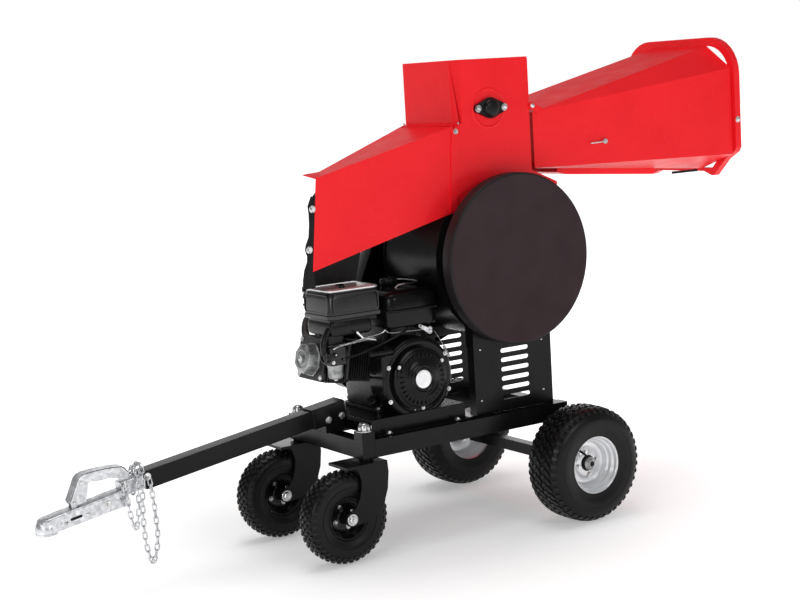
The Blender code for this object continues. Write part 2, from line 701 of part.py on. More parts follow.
# --------------------------------------------------------------------- engine
block = box("engine_block", (-0.660, -0.100, 0.4473), (-0.400, 0.120, 0.660), "engine_black")
tilt = Matrix.Translation((-0.518, 0, 0.590)) @ Matrix.Rotation(math.radians(10), 4, "Y")
fuse(
    block,
    box("cylinder", (-0.230, -0.070, -0.065), (0.060, 0.085, 0.070), turn=tilt),
    box("head", (-0.335, -0.078, -0.072), (-0.229, 0.093, 0.078), turn=tilt),
    box("tank_stay_a", (-0.600, -0.060, 0.640), (-0.580, 0.080, 0.7347)),
    box("tank_stay_b", (-0.480, -0.060, 0.640), (-0.460, 0.080, 0.7347)),
    box("governor_post", (-0.492, -0.098, 0.640), (-0.468, -0.080, 0.722)),
    box("governor_arm", (-0.492, -0.1680, 0.703), (-0.468, -0.085, 0.721)),
)
cut(block, rod("crank_bore", (CRANK_X, -0.2, CRANK_Z), (CRANK_X, 0.2, CRANK_Z), 0.0128, seg=24))

crank = turned(
    "crankshaft",
    [
        (0, 0.2600), (0.0125, 0.2600), (0.0125, -0.1080), (0.030, -0.1080), (0.030, -0.1250),
        (0.105, -0.1250), (0.105, -0.1550), (0.030, -0.1550), (0.030, -0.1750), (0, -0.1750),
    ],
    (CRANK_X, 0, CRANK_Z),
    "Y",
    "steel",
    18,
)
cowl = turned(
    "fan_cowl",
    [
        (0.140, -0.1003), (0.140, -0.1800), (0.130, -0.1900), (0.060, -0.1900), (0.060, -0.1870),
        (0.128, -0.1870), (0.137, -0.1790), (0.137, -0.1003),
    ],
    (CRANK_X, 0, CRANK_Z),
    "Y",
    "engine_black",
    28,
)
cut(cowl, box("cowl_flat", (-0.75, -0.25, 0.30), (-0.30, 0.0, 0.4500)))
recoil = turned(
    "recoil_cover",
    [
        (0, -0.2170), (0.044, -0.2170), (0.092, -0.2080), (0.1040, -0.2030), (0.1040, -0.1903),
        (0.107, -0.1903), (0.107, -0.2050), (0.094, -0.2110), (0.046, -0.2200), (0, -0.2200),
    ],
    (CRANK_X, 0, CRANK_Z),
    "Y",
    "engine_black",
    28,
)

# starter grip: a short bar held up to its rope's guide, pulled out and up
GRIP_AT = Vector((-0.700, -0.200, 0.670))
GRIP_PULL = Vector((-0.35, -0.80, 0.49)).normalized()
grip = rod("recoil_grip", GRIP_AT + Vector((-0.045, 0, 0.004)), GRIP_AT + Vector((0.045, 0, -0.004)), 0.0085, "plastic_black", 14)
fuse(grip, rod("grip_neck", GRIP_AT, GRIP_AT - GRIP_PULL * 0.020, 0.006, seg=12))
guide_end = GRIP_AT - GRIP_PULL * 0.0270
fuse(cowl, rod("rope_guide", guide_end, (-0.640, -0.150, 0.620), 0.009, seg=14))

valve = rod("valve_cover", (-0.8440, 0.004, 0.6475), (-0.8870, 0.004, 0.6551), 0.060, "alloy_grey", 8, 0.050)
cut(valve, box("valve_face", (-0.3353, -0.2, -0.2), (-0.2, 0.2, 0.2), turn=tilt))

cleaner = settle(soften(settle(box("air_cleaner", (-0.860, -0.155, 0.7750), (-0.648, 0.030, 0.895), "plastic_black")), 0.008, 2))
fuse(
    cleaner,
    box("cleaner_base", (-0.850, -0.146, 0.7350), (-0.690, 0.020, 0.7800)),
    box("cleaner_elbow", (-0.859, -0.138, 0.7130), (-0.801, -0.097, 0.7380)),
)
soften(settle(box("fuel_tank", (-0.640, -0.165, 0.7350), (-0.425, 0.125, 0.860), "engine_black")), 0.014, 2)
turned(
    "fuel_cap",
    [(0, 0.8840), (0.027, 0.8840), (0.031, 0.8800), (0.031, 0.8603), (0, 0.8603)],
    (-0.505, 0.030, 0),
    "Z",
    "plastic_black",
    20,
)
soften(settle(box("muffler", (-0.742, 0.133, 0.735), (-0.582, 0.225, 0.860), "exhaust_steel")), 0.016, 2)
carb = box("carburettor", (-0.865, -0.150, 0.638), (-0.795, -0.0850, 0.7127), "engine_black")
fuse(
    carb,
    rod("carb_bowl", (-0.830, -0.118, 0.593), (-0.830, -0.118, 0.643), 0.026, seg=18),
    rod("choke_stud", (-0.847, -0.149, 0.680), (-0.847, -0.1585, 0.680), 0.0040, seg=12),
)


def lever(name, axis_at, reach, angle, y0, y1, bore, slot):
    """A flat finger lever on a stud along y."""
    x, z = axis_at
    a = math.radians(angle)
    tip = (x + reach * math.cos(a), z + reach * math.sin(a))
    outline = arc(x, z, 0.0090, angle + 90, angle + 270, 6) + arc(tip[0], tip[1], 0.0055, angle - 90, angle + 90, 5)
    return plate(name, "XZ", [outline, circle(x, z, bore, 12)], y0, y1, slot)


throttle = lever("throttle_lever", (-0.480, 0.712), 0.050, 150, -0.1725, -0.1690, 0.0043, "zinc")
choke = lever("choke_lever", (-0.847, 0.680), 0.030, 200, -0.1560, -0.1515, 0.0043, "plastic_black")
fuse(block, rod("throttle_stud", (-0.480, -0.1600, 0.712), (-0.480, -0.1760, 0.712), 0.0040, seg=12))

# -------------------------------------------------------------------- rear axle
axle = box("rear_axle", (-0.020, -0.280, 0.183), (0.020, 0.280, 0.223), "black_paint")
for where, side in SIDES:
    lo, hi = y_side(side, -0.2400, -0.1950)
    fuse(
        axle,
        box(f"axle_leg_{where}", (-0.025, lo, 0.215), (0.030, hi, RAIL_Z0 - GAP)),
        rod(f"spindle_{where}", (0, side * 0.27, TYRE_R), (0, side * 0.4200, TYRE_R), 0.0100, seg=20),
        rod(f"spindle_nut_{where}", (0, side * 0.4080, TYRE_R), (0, side * 0.4180, TYRE_R), 0.0150, seg=6),
    )


def wheel(where, centre, side, kind):
    """A tyre and its rim on an axle along y. Profiles are (radius, offset) about the wheel's middle, + outwards.

    The tyre is a casing open to its rim. It is spun in flat facets, and its
    radii grow so that the facet on the ground has the tyre's own radius."""
    if kind == "rear":
        tyre_profile = [
            (0.1045, 0.0630), (0.1143, 0.0635), (0.1150, 0.0700), (0.150, 0.0825), (0.190, 0.072), (TYRE_R, 0.035),
            (TYRE_R, -0.035), (0.190, -0.072), (0.150, -0.0825), (0.1150, -0.0700), (0.1143, -0.0635), (0.1045, -0.0630),
            (0.1045, -0.052), (0.150, -0.070), (0.190, -0.036), (0.190, 0.036), (0.150, 0.070), (0.1045, 0.052),
        ]
        rim_profile = [
            (0.1135, 0.0675), (0.1135, 0.0640), (0.1040, 0.0635), (0.1010, 0.050), (0.088, 0.038), (0.088, -0.030),
            (0.1010, -0.045), (0.1040, -0.0635), (0.1135, -0.0640), (0.1135, -0.0675), (0.0990, -0.0665),
            (0.084, -0.028), (0.084, 0.006), (0.048, 0.0205), (0.0225, 0.0205),
            (0.0225, -0.050), (0.0103, -0.050), (0.0103, 0.0345), (0.0225, 0.0345), (0.0225, 0.0250),
            (0.050, 0.0250), (0.084, 0.0105), (0.084, 0.036), (0.0990, 0.0665),
        ]
        steps, finish_rim = 22, "rim_white"
    else:
        tyre_profile = [
            (0.0645, 0.0297), (0.0718, 0.0300), (0.0724, 0.0360), (0.105, 0.0450), (0.143, 0.034), (CASTER_R, 0.013),
            (CASTER_R, -0.013), (0.143, -0.034), (0.105, -0.0450), (0.0724, -0.0360), (0.0718, -0.0300), (0.0645, -0.0297),
            (0.0645, -0.022), (0.105, -0.036), (0.143, -0.012), (0.143, 0.012), (0.105, 0.036), (0.0645, 0.022),
        ]
        rim_profile = [
            (0.0710, 0.0335), (0.0710, 0.0303), (0.0640, 0.0300), (0.0560, 0.015), (0.0560, -0.015), (0.0640, -0.0300),
            (0.0710, -0.0303), (0.0710, -0.0335), (0.0524, -0.0172), (0.0524, -0.0032), (0.0184, -0.0032),
            (0.0184, -0.0478), (0.0086, -0.0478), (0.0086, 0.0478), (0.0184, 0.0478), (0.0184, 0.0032), (0.0524, 0.0032),
            (0.0524, 0.0172),
        ]
        steps, finish_rim = 18, "rim_black"
    x, y, z = centre
    grow = 1 / math.cos(math.pi / steps)
    tyre_profile = [(r * grow, h) for r, h in tyre_profile]
    # the profile's own axis is +y; the near side's outer face looks to -y
    stem = "rear" if kind == "rear" else "caster"
    out = []
    for what, profile, slot in (("tyre", tyre_profile, "tyre_rubber"), ("rim", rim_profile, finish_rim)):
        outward = [(r, side * h) for r, h in profile]
        if side < 0:
            outward.reverse()
        out.append(turned(f"{stem}_{what}_{where}", outward, (x, y, z), "Y", slot, steps))
    return out


rear_wheels = {where: wheel(where, (0, side * TRACK_Y, TYRE_R), side, "rear") for where, side in SIDES}

# --------------------------------------------------------------------- casters
WHEEL_X = SWIVEL_X - TRAIL
fork_side = (
    [(-0.870, 0.3230), (-0.748, 0.3230), (-0.7455, 0.290), (-0.752, 0.235), (-0.768, 0.190), (-0.800, 0.155), (-0.840, 0.138)]
    + arc(WHEEL_X, CASTER_R, 0.024, -75, -250, 9)
    + [(-0.880, 0.190), (-0.8625, 0.216), (-0.8530, 0.250), (-0.8514, 0.277), (-0.858, 0.300)]
)
casters = {}
for where, side in SIDES:
    yc = side * SWIVEL_Y
    fork = box(f"caster_fork_{where}", (-0.905, yc - 0.058, 0.3190), (-0.748, yc + 0.058, 0.3285), "black_paint")
    for i, (lo, hi) in enumerate(((-0.058, -0.052), (0.052, 0.058))):
        fuse(fork, plate(f"fork_side_{where}_{i}", "XZ", [fork_side], yc + lo, yc + hi))
    fuse(
        fork,
        rod(f"fork_washer_{where}", (SWIVEL_X, yc, 0.3265), (SWIVEL_X, yc, 0.3337), 0.0240, seg=20),
        rod(f"fork_pin_{where}", (SWIVEL_X, yc, 0.3250), (SWIVEL_X, yc, 0.4380), 0.0150, seg=24),
        rod(f"fork_nut_{where}", (SWIVEL_X, yc, 0.4254), (SWIVEL_X, yc, 0.4460), 0.0205, seg=6, r2=0.0190),
        rod(f"caster_bolt_{where}", (WHEEL_X, yc - 0.066, CASTER_R), (WHEEL_X, yc + 0.066, CASTER_R), 0.0080, seg=16),
        rod(f"caster_bolt_head_a_{where}", (WHEEL_X, yc - 0.0570, CASTER_R), (WHEEL_X, yc - 0.0670, CASTER_R), 0.0135, seg=6),
        rod(f"caster_bolt_head_b_{where}", (WHEEL_X, yc + 0.0570, CASTER_R), (WHEEL_X, yc + 0.0670, CASTER_R), 0.0135, seg=6),
    )
    casters[where] = (fork, wheel(where, (WHEEL_X, yc, CASTER_R), side, "caster"))

# --------------------------------------------------------------------- tow bar
slope = Matrix.Rotation(-BAR_SLOPE, 4, "Y")


def on_bar(x):
    """Turns a block made about the origin onto the bar's line, its middle at x."""
    return Matrix.Translation((x, 0, bar_z(x))) @ slope


length = (BAR_X1 - BAR_X0) / math.cos(BAR_SLOPE)
middle = (BAR_X0 + BAR_X1) / 2
bar = box("tow_bar", (-length / 2, -BAR / 2, -BAR / 2), (length / 2, BAR / 2, BAR / 2), "black_paint", turn=on_bar(middle))
cut(bar, box("bar_bore", (-length, -BAR / 2 + 0.004, -BAR / 2 + 0.004), (length, BAR / 2 - 0.004, BAR / 2 - 0.004), turn=on_bar(middle)))

sleeve_mid, sleeve_len = -0.8145, 0.130
sleeve = box("tow_sleeve", (-sleeve_len / 2, -0.034, -0.034), (sleeve_len / 2, 0.034, 0.034), "black_paint", turn=on_bar(sleeve_mid))
fuse(sleeve, box("sleeve_foot", (-0.832, -0.034, RAIL_Z1 + GAP), (-0.758, 0.034, 0.445)))
cut(sleeve, box("sleeve_bore", (-0.2, -BAR / 2 - GAP, -BAR / 2 - GAP), (0.2, BAR / 2 + GAP, BAR / 2 + GAP), turn=on_bar(sleeve_mid)))

# --------------------------------------------------------------------- coupler
BALL = Vector((-1.8260, 0, 0.2620))
LATCH = (-1.7350, 0.3285)
channel = [(-1.8500, 0.2440), (-1.5600, 0.2905), (-1.5600, 0.3430), (-1.8400, 0.2935), (-1.8500, 0.2850)]
coupler = plate("coupler_body", "XZ", [channel], -0.0320, 0.0320, "zinc")
under = [(-1.8100, 0.2200), (-1.6000, 0.2200), (-1.6000, 0.3310), (-1.8100, 0.2940)]
cut(coupler, plate("coupler_hollow", "XZ", [under], -0.0285, 0.0285))
ball_case = bmesh.new()
bmesh.ops.create_uvsphere(ball_case, u_segments=14, v_segments=8, radius=0.034)
bmesh.ops.translate(ball_case, vec=BALL, verts=ball_case.verts)
fuse(coupler, from_bm("ball_case", ball_case))
neck_turn = on_bar(-1.5050)
fuse(coupler, box("coupler_neck", (-0.0750, -0.0255, -0.0255), (0.0450, 0.0255, 0.0195), turn=neck_turn))
fuse(
    coupler,
    rod("latch_ear", (LATCH[0], -0.0145, LATCH[1]), (LATCH[0], 0.0145, LATCH[1]), 0.0085, seg=16),
    box("latch_ear_foot", (LATCH[0] - 0.0065, -0.0140, 0.3060), (LATCH[0] + 0.0065, 0.0140, LATCH[1])),
    rod("latch_pin", (LATCH[0], -0.0215, LATCH[1]), (LATCH[0], 0.0215, LATCH[1]), 0.0040, seg=12),
)
hollow_ball = bmesh.new()
bmesh.ops.create_uvsphere(hollow_ball, u_segments=14, v_segments=8, radius=0.0255)
bmesh.ops.translate(hollow_ball, vec=BALL - Vector((0, 0, 0.004)), verts=hollow_ball.verts)
cut(coupler, from_bm("ball_hollow", hollow_ball))
cut(coupler, rod("ball_mouth", BALL - Vector((0, 0, 0.05)), BALL - Vector((0, 0, 0.006)), 0.0250, seg=20))

lever_line = [
    (-1.7530, 0.3335), (-1.7450, 0.3222), (-1.6900, 0.3222), (-1.6845, 0.3800), (-1.6700, 0.3860), (-1.6590, 0.3790),
    (-1.6200, 0.3830), (-1.5900, 0.3775), (-1.5514, 0.3717), (-1.5494, 0.3944), (-1.5716, 0.4169), (-1.6314, 0.4199),
    (-1.7119, 0.4132), (-1.7293, 0.3825),
]
hitch_lever = plate("coupler_lever", "XZ", [lever_line], -0.0180, 0.0180, "zinc")
pocket = [
    (-1.7490, 0.3000), (-1.5200, 0.3000), (-1.5200, 0.3900), (-1.5535, 0.3935), (-1.5726, 0.4139), (-1.6314, 0.4169),
    (-1.7095, 0.4104), (-1.7262, 0.3820), (-1.7490, 0.3340),
]
cut(hitch_lever, plate("lever_pocket", "XZ", [pocket], -0.0150, 0.0150))
cut(hitch_lever, rod("lever_bore", (LATCH[0], -0.03, LATCH[1]), (LATCH[0], 0.03, LATCH[1]), 0.0043, seg=12))

# ---------------------------------------------------------------- safety chain
CHAIN_KNOTS = [
    (-1.5740, -0.0400, 0.3560), (-1.5720, -0.0470, 0.3150), (-1.5670, -0.0500, 0.2600), (-1.5540, -0.0510, 0.2130),
    (-1.5400, -0.0500, 0.2600), (-1.5340, -0.0480, 0.3300), (-1.5290, -0.0400, 0.3820), (-1.5230, 0.0000, 0.4010),
    (-1.5190, 0.0400, 0.3840), (-1.5170, 0.0500, 0.3350), (-1.5110, 0.0520, 0.2950), (-1.5050, 0.0500, 0.3350),
    (-1.5040, 0.0430, 0.3920), (-1.5070, 0.0000, 0.4090), (-1.5135, -0.0430, 0.3900), (-1.5230, -0.0540, 0.3300),
    (-1.5280, -0.0560, 0.2500), (-1.5250, -0.0560, 0.1600), (-1.5060, -0.0560, 0.0960), (-1.4860, -0.0560, 0.1600),
    (-1.4860, -0.0550, 0.2500), (-1.4900, -0.0500, 0.3300), (-1.4920, -0.0440, 0.3660),
]
tube("safety_chain", smooth_line(CHAIN_KNOTS, 0.030), 0.0060, "zinc", 2)

# ------------------------------------------------------------------ joint axes
pivot("rotor_axis", (HOUSE_X, 0, HOUSE_Z), [rotor, *knives, rotor_pulley])
pivot("crank_axis", (CRANK_X, 0, CRANK_Z), [crank, bpy.data.objects["engine_pulley"]])
pivot("feed_axis", (FEED_X, 0, FEED_Z), [feed])
fold = pivot("funnel_fold_axis", (HINGE_X, 0, HINGE_Z), [funnel, rim])
pivot("hook_axis", (0.297, -0.2130, 1.302), [hook], fold)
pivot("latch_axis", (LATCH[0], 0, LATCH[1]), [hitch_lever])
pivot("throttle_axis", (-0.480, -0.1707, 0.712), [throttle])
pivot("choke_axis", (-0.847, -0.154, 0.680), [choke])
pivot("fuel_cap_axis", (-0.505, 0.030, 0.872), [bpy.data.objects["fuel_cap"]])
pivot("starter_pull", tuple(GRIP_AT), [grip])
for where, side in SIDES:
    pivot(f"rear_wheel_axis_{where}", (0, side * TRACK_Y, TYRE_R), list(rear_wheels[where]))
    fork, rolling = casters[where]
    swivel = pivot(f"caster_swivel_{where}", (SWIVEL_X, side * SWIVEL_Y, 0.330), [fork])
    pivot(f"caster_axle_{where}", (WHEEL_X, side * SWIVEL_Y, CASTER_R), list(rolling), swivel)

for o in list(parts.objects):
    if o.type == "MESH":
        if any(m.type == "BOOLEAN" for m in o.modifiers):
            settle(o)
        o.data.shade_smooth()
        o.data.set_sharp_from_angle(angle=math.radians(35))
for o in list(helpers.objects):
    bpy.data.objects.remove(o, do_unlink=True)
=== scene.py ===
"""The looks of a towable petrol wood chipper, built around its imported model."""
import math
import random

import bmesh
import bpy
from mathutils import Matrix, Vector


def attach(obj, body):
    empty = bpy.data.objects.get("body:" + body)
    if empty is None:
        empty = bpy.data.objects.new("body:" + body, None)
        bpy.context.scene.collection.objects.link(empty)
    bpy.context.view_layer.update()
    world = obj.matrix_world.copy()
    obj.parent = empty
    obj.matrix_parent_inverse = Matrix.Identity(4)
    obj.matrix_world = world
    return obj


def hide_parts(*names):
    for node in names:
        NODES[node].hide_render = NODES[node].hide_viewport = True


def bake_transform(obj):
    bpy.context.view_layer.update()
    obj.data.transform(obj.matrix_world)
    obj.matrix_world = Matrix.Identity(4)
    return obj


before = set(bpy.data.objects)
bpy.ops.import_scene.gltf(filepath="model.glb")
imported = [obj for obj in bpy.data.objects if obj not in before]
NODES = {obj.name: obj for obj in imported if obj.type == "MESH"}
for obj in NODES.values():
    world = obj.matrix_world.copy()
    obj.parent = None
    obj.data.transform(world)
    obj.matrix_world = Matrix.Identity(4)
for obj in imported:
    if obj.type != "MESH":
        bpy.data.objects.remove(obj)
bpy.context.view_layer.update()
AXLE_X = 0.48507  # lengths below are counted from the rear axle, as in the solid model
SHIFT = Matrix.Translation((AXLE_X, 0, 0))
V = Vector
SIDES = (("near", -1), ("far", 1))

# ---------------------------------------------------------------- camera
heading, pitch, roll = math.radians(33.067), math.radians(7.739), math.radians(3.3975)
look = V((math.sin(heading) * math.cos(pitch), math.cos(heading) * math.cos(pitch), -math.sin(pitch)))
level = V((math.cos(heading), -math.sin(heading), 0))
rise = level.cross(look)
right = level * math.cos(roll) - rise * math.sin(roll)
up = rise * math.cos(roll) + level * math.sin(roll)
cam_data = bpy.data.cameras.new("camera")
cam_data.sensor_width = 36.0
cam_data.lens = 1605.09 * 36.0 / 800.0
cam = bpy.data.objects.new("camera", cam_data)
bpy.context.scene.collection.objects.link(cam)
cam.matrix_world = Matrix(
    (
        (right.x, up.x, -look.x, -3.0159),
        (right.y, up.y, -look.y, -4.6371),
        (right.z, up.z, -look.z, 1.5568),
        (0, 0, 0, 1),
    )
)
bpy.context.scene.camera = cam


# ---------------------------------------------------------------- materials
class Nodes:
    """A material's node tree, with short calls for the nodes used here."""

    def __init__(self, name, **values):
        self.material = bpy.data.materials.new(name)
        self.material.use_nodes = True
        self.tree = self.material.node_tree
        self.shader = self.tree.nodes["Principled BSDF"]
        for key, value in values.items():
            self.shader.inputs[key.replace("_", " ")].default_value = value
        self.coords = self.tree.nodes.new("ShaderNodeTexCoord").outputs["Object"]

    def add(self, kind, **settings):
        node = self.tree.nodes.new("ShaderNode" + kind)
        for key, value in settings.items():
            setattr(node, key, value)
        return node

    def link(self, a, b):
        self.tree.links.new(a, b)

    def noise(self, scale, detail=3.0, rough=0.55, stretch=None):
        node = self.add("TexNoise")
        node.inputs["Scale"].default_value = scale
        node.inputs["Detail"].default_value = detail
        node.inputs["Roughness"].default_value = rough
        at = self.coords
        if stretch:
            mapping = self.add("Mapping")
            mapping.inputs["Scale"].default_value = stretch
            self.link(at, mapping.inputs["Vector"])
            at = mapping.outputs["Vector"]
        self.link(at, node.inputs["Vector"])
        return node.outputs["Fac"]

    def ramp(self, value, low, high, a=0.3, b=0.7):
        node = self.add("ValToRGB")
        node.color_ramp.elements[0].position = a
        node.color_ramp.elements[1].position = b
        node.color_ramp.elements[0].color = low if len(low) == 4 else (*low, 1)
        node.color_ramp.elements[1].color = high if len(high) == 4 else (*high, 1)
        self.link(value, node.inputs["Fac"])
        return node.outputs["Color"]

    def spread(self, value, low, high, a=0.3, b=0.7):
        node = self.add("MapRange")
        for key, number in (("From Min", a), ("From Max", b), ("To Min", low), ("To Max", high)):
            node.inputs[key].default_value = number
        self.link(value, node.inputs["Value"])
        return node.outputs["Result"]

    def blend(self, factor, one, two):
        node = self.add("MixRGB")
        if isinstance(factor, (int, float)):
            node.inputs["Fac"].default_value = factor
        else:
            self.link(factor, node.inputs["Fac"])
        for socket, value in ((node.inputs[1], one), (node.inputs[2], two)):
            if hasattr(value, "links"):
                self.link(value, socket)
            else:
                socket.default_value = (*value, 1) if len(value) == 3 else value
        return node.outputs["Color"]

    def bump(self, height, strength, distance, before=None):
        node = self.add("Bump")
        node.inputs["Strength"].default_value = strength
        node.inputs["Distance"].default_value = distance
        self.link(height, node.inputs["Height"])
        if before is not None:
            self.link(before, node.inputs["Normal"])
        return node.outputs["Normal"]

    def set(self, key, socket):
        self.link(socket, self.shader.inputs[key])
        return self


def powder_coat(name, base, deep, rough, specular=0.5, coat=0.0, dust=(0.30, 0.27, 0.24), dusty=0.03, peel=0.10):
    """Sprayed paint: a fine orange-peel skin, slow colour drift and a breath of dust."""
    m = Nodes(name, Roughness=rough)
    m.shader.inputs["Specular IOR Level"].default_value = specular
    m.shader.inputs["Coat Weight"].default_value = coat
    m.shader.inputs["Coat Roughness"].default_value = 0.12
    drift = m.ramp(m.noise(5.0, 4.0), deep, base, 0.30, 0.62)
    fleck = m.spread(m.noise(60.0, 5.0, 0.7), 0.0, dusty, 0.55, 0.80)
    m.set("Base Color", m.blend(fleck, drift, dust))
    m.set("Roughness", m.spread(m.noise(14.0, 4.0), rough * 0.85, rough * 1.20))
    skin = m.bump(m.noise(420.0, 2.0), peel, 0.0006)
    m.set("Normal", m.bump(m.noise(9.0, 2.0), peel * 0.8, 0.004, skin))
    return m.material


def bare_metal(name, base, dark, rough, stretch=(1, 1, 1), grain=260.0, metal=1.0, depth=0.15):
    """Machined or brushed metal: fine grain along one direction and slight staining."""
    m = Nodes(name, Roughness=rough, Metallic=metal)
    stain = m.ramp(m.noise(22.0, 5.0, 0.6), dark, base, 0.30, 0.60)
    line = m.noise(grain, 3.0, 0.6, stretch)
    m.set("Base Color", m.blend(m.spread(line, 0.0, 0.25, 0.4, 0.8), stain, dark))
    m.set("Roughness", m.spread(line, rough * 0.8, rough * 1.35))
    m.set("Normal", m.bump(line, depth, 0.0005))
    return m.material


def galvanised(name):
    """Zinc plate: bright spangles of slightly unlike greys, dull patches and small pits."""
    m = Nodes(name, Metallic=0.85, Roughness=0.34)
    cells = m.add("TexVoronoi")
    cells.inputs["Scale"].default_value = 95.0
    m.link(m.coords, cells.inputs["Vector"])
    grey = m.add("RGBToBW")
    m.link(cells.outputs["Color"], grey.inputs["Color"])
    tone = m.ramp(grey.outputs["Val"], (0.50, 0.51, 0.53), (0.78, 0.79, 0.81), 0.1, 0.9)
    dull = m.spread(m.noise(30.0, 5.0, 0.65), 0.0, 0.55, 0.50, 0.75)
    m.set("Base Color", m.blend(dull, tone, (0.33, 0.33, 0.34)))
    m.set("Roughness", m.spread(m.noise(70.0, 4.0), 0.24, 0.50))
    m.set("Normal", m.bump(m.noise(160.0, 4.0, 0.6), 0.22, 0.0008))
    return m.material


def casting(name, base, dark, rough, metal, scale=220.0, depth=0.35):
    """Sand or die cast metal: a grainy skin and a blotchy tone between dark and base."""
    m = Nodes(name, Roughness=rough, Metallic=metal)
    m.set("Base Color", m.ramp(m.noise(35.0, 5.0, 0.65), dark, base, 0.34, 0.60))
    m.set("Roughness", m.spread(m.noise(80.0, 3.0), rough * 0.8, rough * 1.2))
    m.set("Normal", m.bump(m.noise(scale, 4.0, 0.65), depth, 0.0010))
    return m.material


def rubber(name, base, dust, rough, dusty, specular=0.3):
    m = Nodes(name, Roughness=rough)
    m.shader.inputs["Specular IOR Level"].default_value = specular
    worn = m.spread(m.noise(48.0, 5.0, 0.7), 0.0, dusty, 0.45, 0.75)
    m.set("Base Color", m.blend(worn, base, dust))
    m.set("Roughness", m.spread(m.noise(26.0, 4.0), rough * 0.82, rough * 1.18))
    m.set("Normal", m.bump(m.noise(300.0, 4.0, 0.6), 0.25, 0.0006))
    return m.material


def moulded(name, base, rough):
    """Black plastic with a spark-eroded grain."""
    m = Nodes(name, Roughness=rough)
    m.shader.inputs["Specular IOR Level"].default_value = 0.20
    m.set("Base Color", m.ramp(m.noise(12.0, 3.0), [c * 0.7 for c in base], base))
    cells = m.add("TexVoronoi")
    cells.inputs["Scale"].default_value = 900.0
    m.link(m.coords, cells.inputs["Vector"])
    m.set("Normal", m.bump(cells.outputs["Distance"], 0.12, 0.0004))
    m.set("Roughness", m.spread(m.noise(40.0, 3.0), rough * 0.85, rough * 1.15))
    return m.material


RED = powder_coat("red_paint", (0.850, 0.009, 0.016), (0.790, 0.006, 0.012), 0.40, 0.18, 0.06, (0.78, 0.30, 0.28), 0.05)
BLACK = powder_coat("black_paint", (0.0060, 0.0060, 0.0063), (0.0030, 0.0030, 0.0032), 0.24, 0.15, 0.0, (0.06, 0.06, 0.06), 0.06, 0.14)
PLUM = powder_coat("cover_plum", (0.0330, 0.0185, 0.0215), (0.0290, 0.0160, 0.0190), 0.62, 0.15, 0.0, (0.05, 0.03, 0.035), 0.05, 0.06)
COVER_EDGE = powder_coat("cover_edge_paint", (0.0150, 0.0125, 0.0135), (0.0100, 0.0085, 0.0092), 0.50, 0.20, 0.0, (0.12, 0.12, 0.12), 0.06)
ENGINE = powder_coat("engine_black", (0.0050, 0.0050, 0.0053), (0.0025, 0.0025, 0.0027), 0.18, 0.17, 0.0, (0.07, 0.07, 0.07), 0.06, 0.16)
ZINC = galvanised("zinc")
STEEL = bare_metal("steel", (0.50, 0.50, 0.51), (0.22, 0.21, 0.20), 0.30)
BOLT = bare_metal("bolt_zinc", (0.72, 0.72, 0.73), (0.34, 0.33, 0.32), 0.26, grain=500.0)
KNIFE = bare_metal("knife_steel", (0.60, 0.60, 0.61), (0.40, 0.40, 0.41), 0.20, (1, 12, 1), 300.0)
ALLOY = casting("alloy_grey", (0.42, 0.43, 0.43), (0.16, 0.16, 0.16), 0.42, 0.75)
ENGINE_CAST = casting("engine_cast", (0.008, 0.008, 0.0085), (0.003, 0.003, 0.003), 0.40, 0.10, 180.0, 0.5)
EXHAUST = casting("exhaust_steel", (0.055, 0.050, 0.047), (0.014, 0.013, 0.013), 0.55, 0.55, 120.0, 0.3)
RUBBER = rubber("rubber", (0.0050, 0.0050, 0.0052), (0.022, 0.021, 0.020), 0.50, 0.25, 0.18)
TYRE = rubber("tyre_rubber", (0.0040, 0.0040, 0.0042), (0.013, 0.013, 0.012), 0.34, 0.25, 0.20)
TREAD = rubber("tyre_tread", (0.0045, 0.0045, 0.0047), (0.024, 0.023, 0.022), 0.36, 0.35, 0.30)
RIM_WHITE = powder_coat("rim_white", (0.80, 0.81, 0.83), (0.70, 0.71, 0.73), 0.22, 0.55, 0.45, (0.45, 0.44, 0.43), 0.12, 0.08)
RIM_WHITE.node_tree.nodes["Principled BSDF"].inputs["Metallic"].default_value = 0.45
RIM_BLACK = powder_coat("rim_black", (0.0060, 0.0060, 0.0063), (0.0030, 0.0030, 0.0033), 0.20, 0.22, 0.1, (0.07, 0.07, 0.07), 0.06, 0.12)
PLASTIC = moulded("plastic_black", (0.0065, 0.0065, 0.0068), 0.26)
CLEANER = powder_coat("cleaner_shell", (0.0100, 0.0100, 0.0106), (0.0060, 0.0060, 0.0064), 0.26, 0.42, 0.10, (0.08, 0.08, 0.08), 0.05, 0.10)
LID = bare_metal("lid_bright", (0.80, 0.81, 0.82), (0.55, 0.56, 0.57), 0.32, (1, 9, 1), 240.0, 0.7)
BADGE = bare_metal("centre_disc", (0.86, 0.86, 0.87), (0.62, 0.62, 0.63), 0.30, grain=420.0, metal=0.75, depth=0.08)
# near-black patches laid over holes, slots and vents: painted shade standing in for the dark inside of the openings
PAINTED_HOLE_SHADE = Nodes("painted_hole_shade", Roughness=0.9)
PAINTED_HOLE_SHADE.set("Base Color", PAINTED_HOLE_SHADE.ramp(PAINTED_HOLE_SHADE.noise(30.0), (0.002, 0.002, 0.002), (0.006, 0.006, 0.006)))
PAINTED_HOLE_SHADE = PAINTED_HOLE_SHADE.material

SLOT_MATERIAL = {
    "red_paint": RED, "black_paint": BLACK, "cover_plum": PLUM, "zinc": ZINC, "steel": STEEL, "alloy_grey": ALLOY,
    "engine_black": ENGINE, "exhaust_steel": EXHAUST, "rubber": RUBBER, "tyre_rubber": TYRE, "rim_white": RIM_WHITE,
    "rim_black": RIM_BLACK, "plastic_black": PLASTIC, "knife_steel": KNIFE,
}


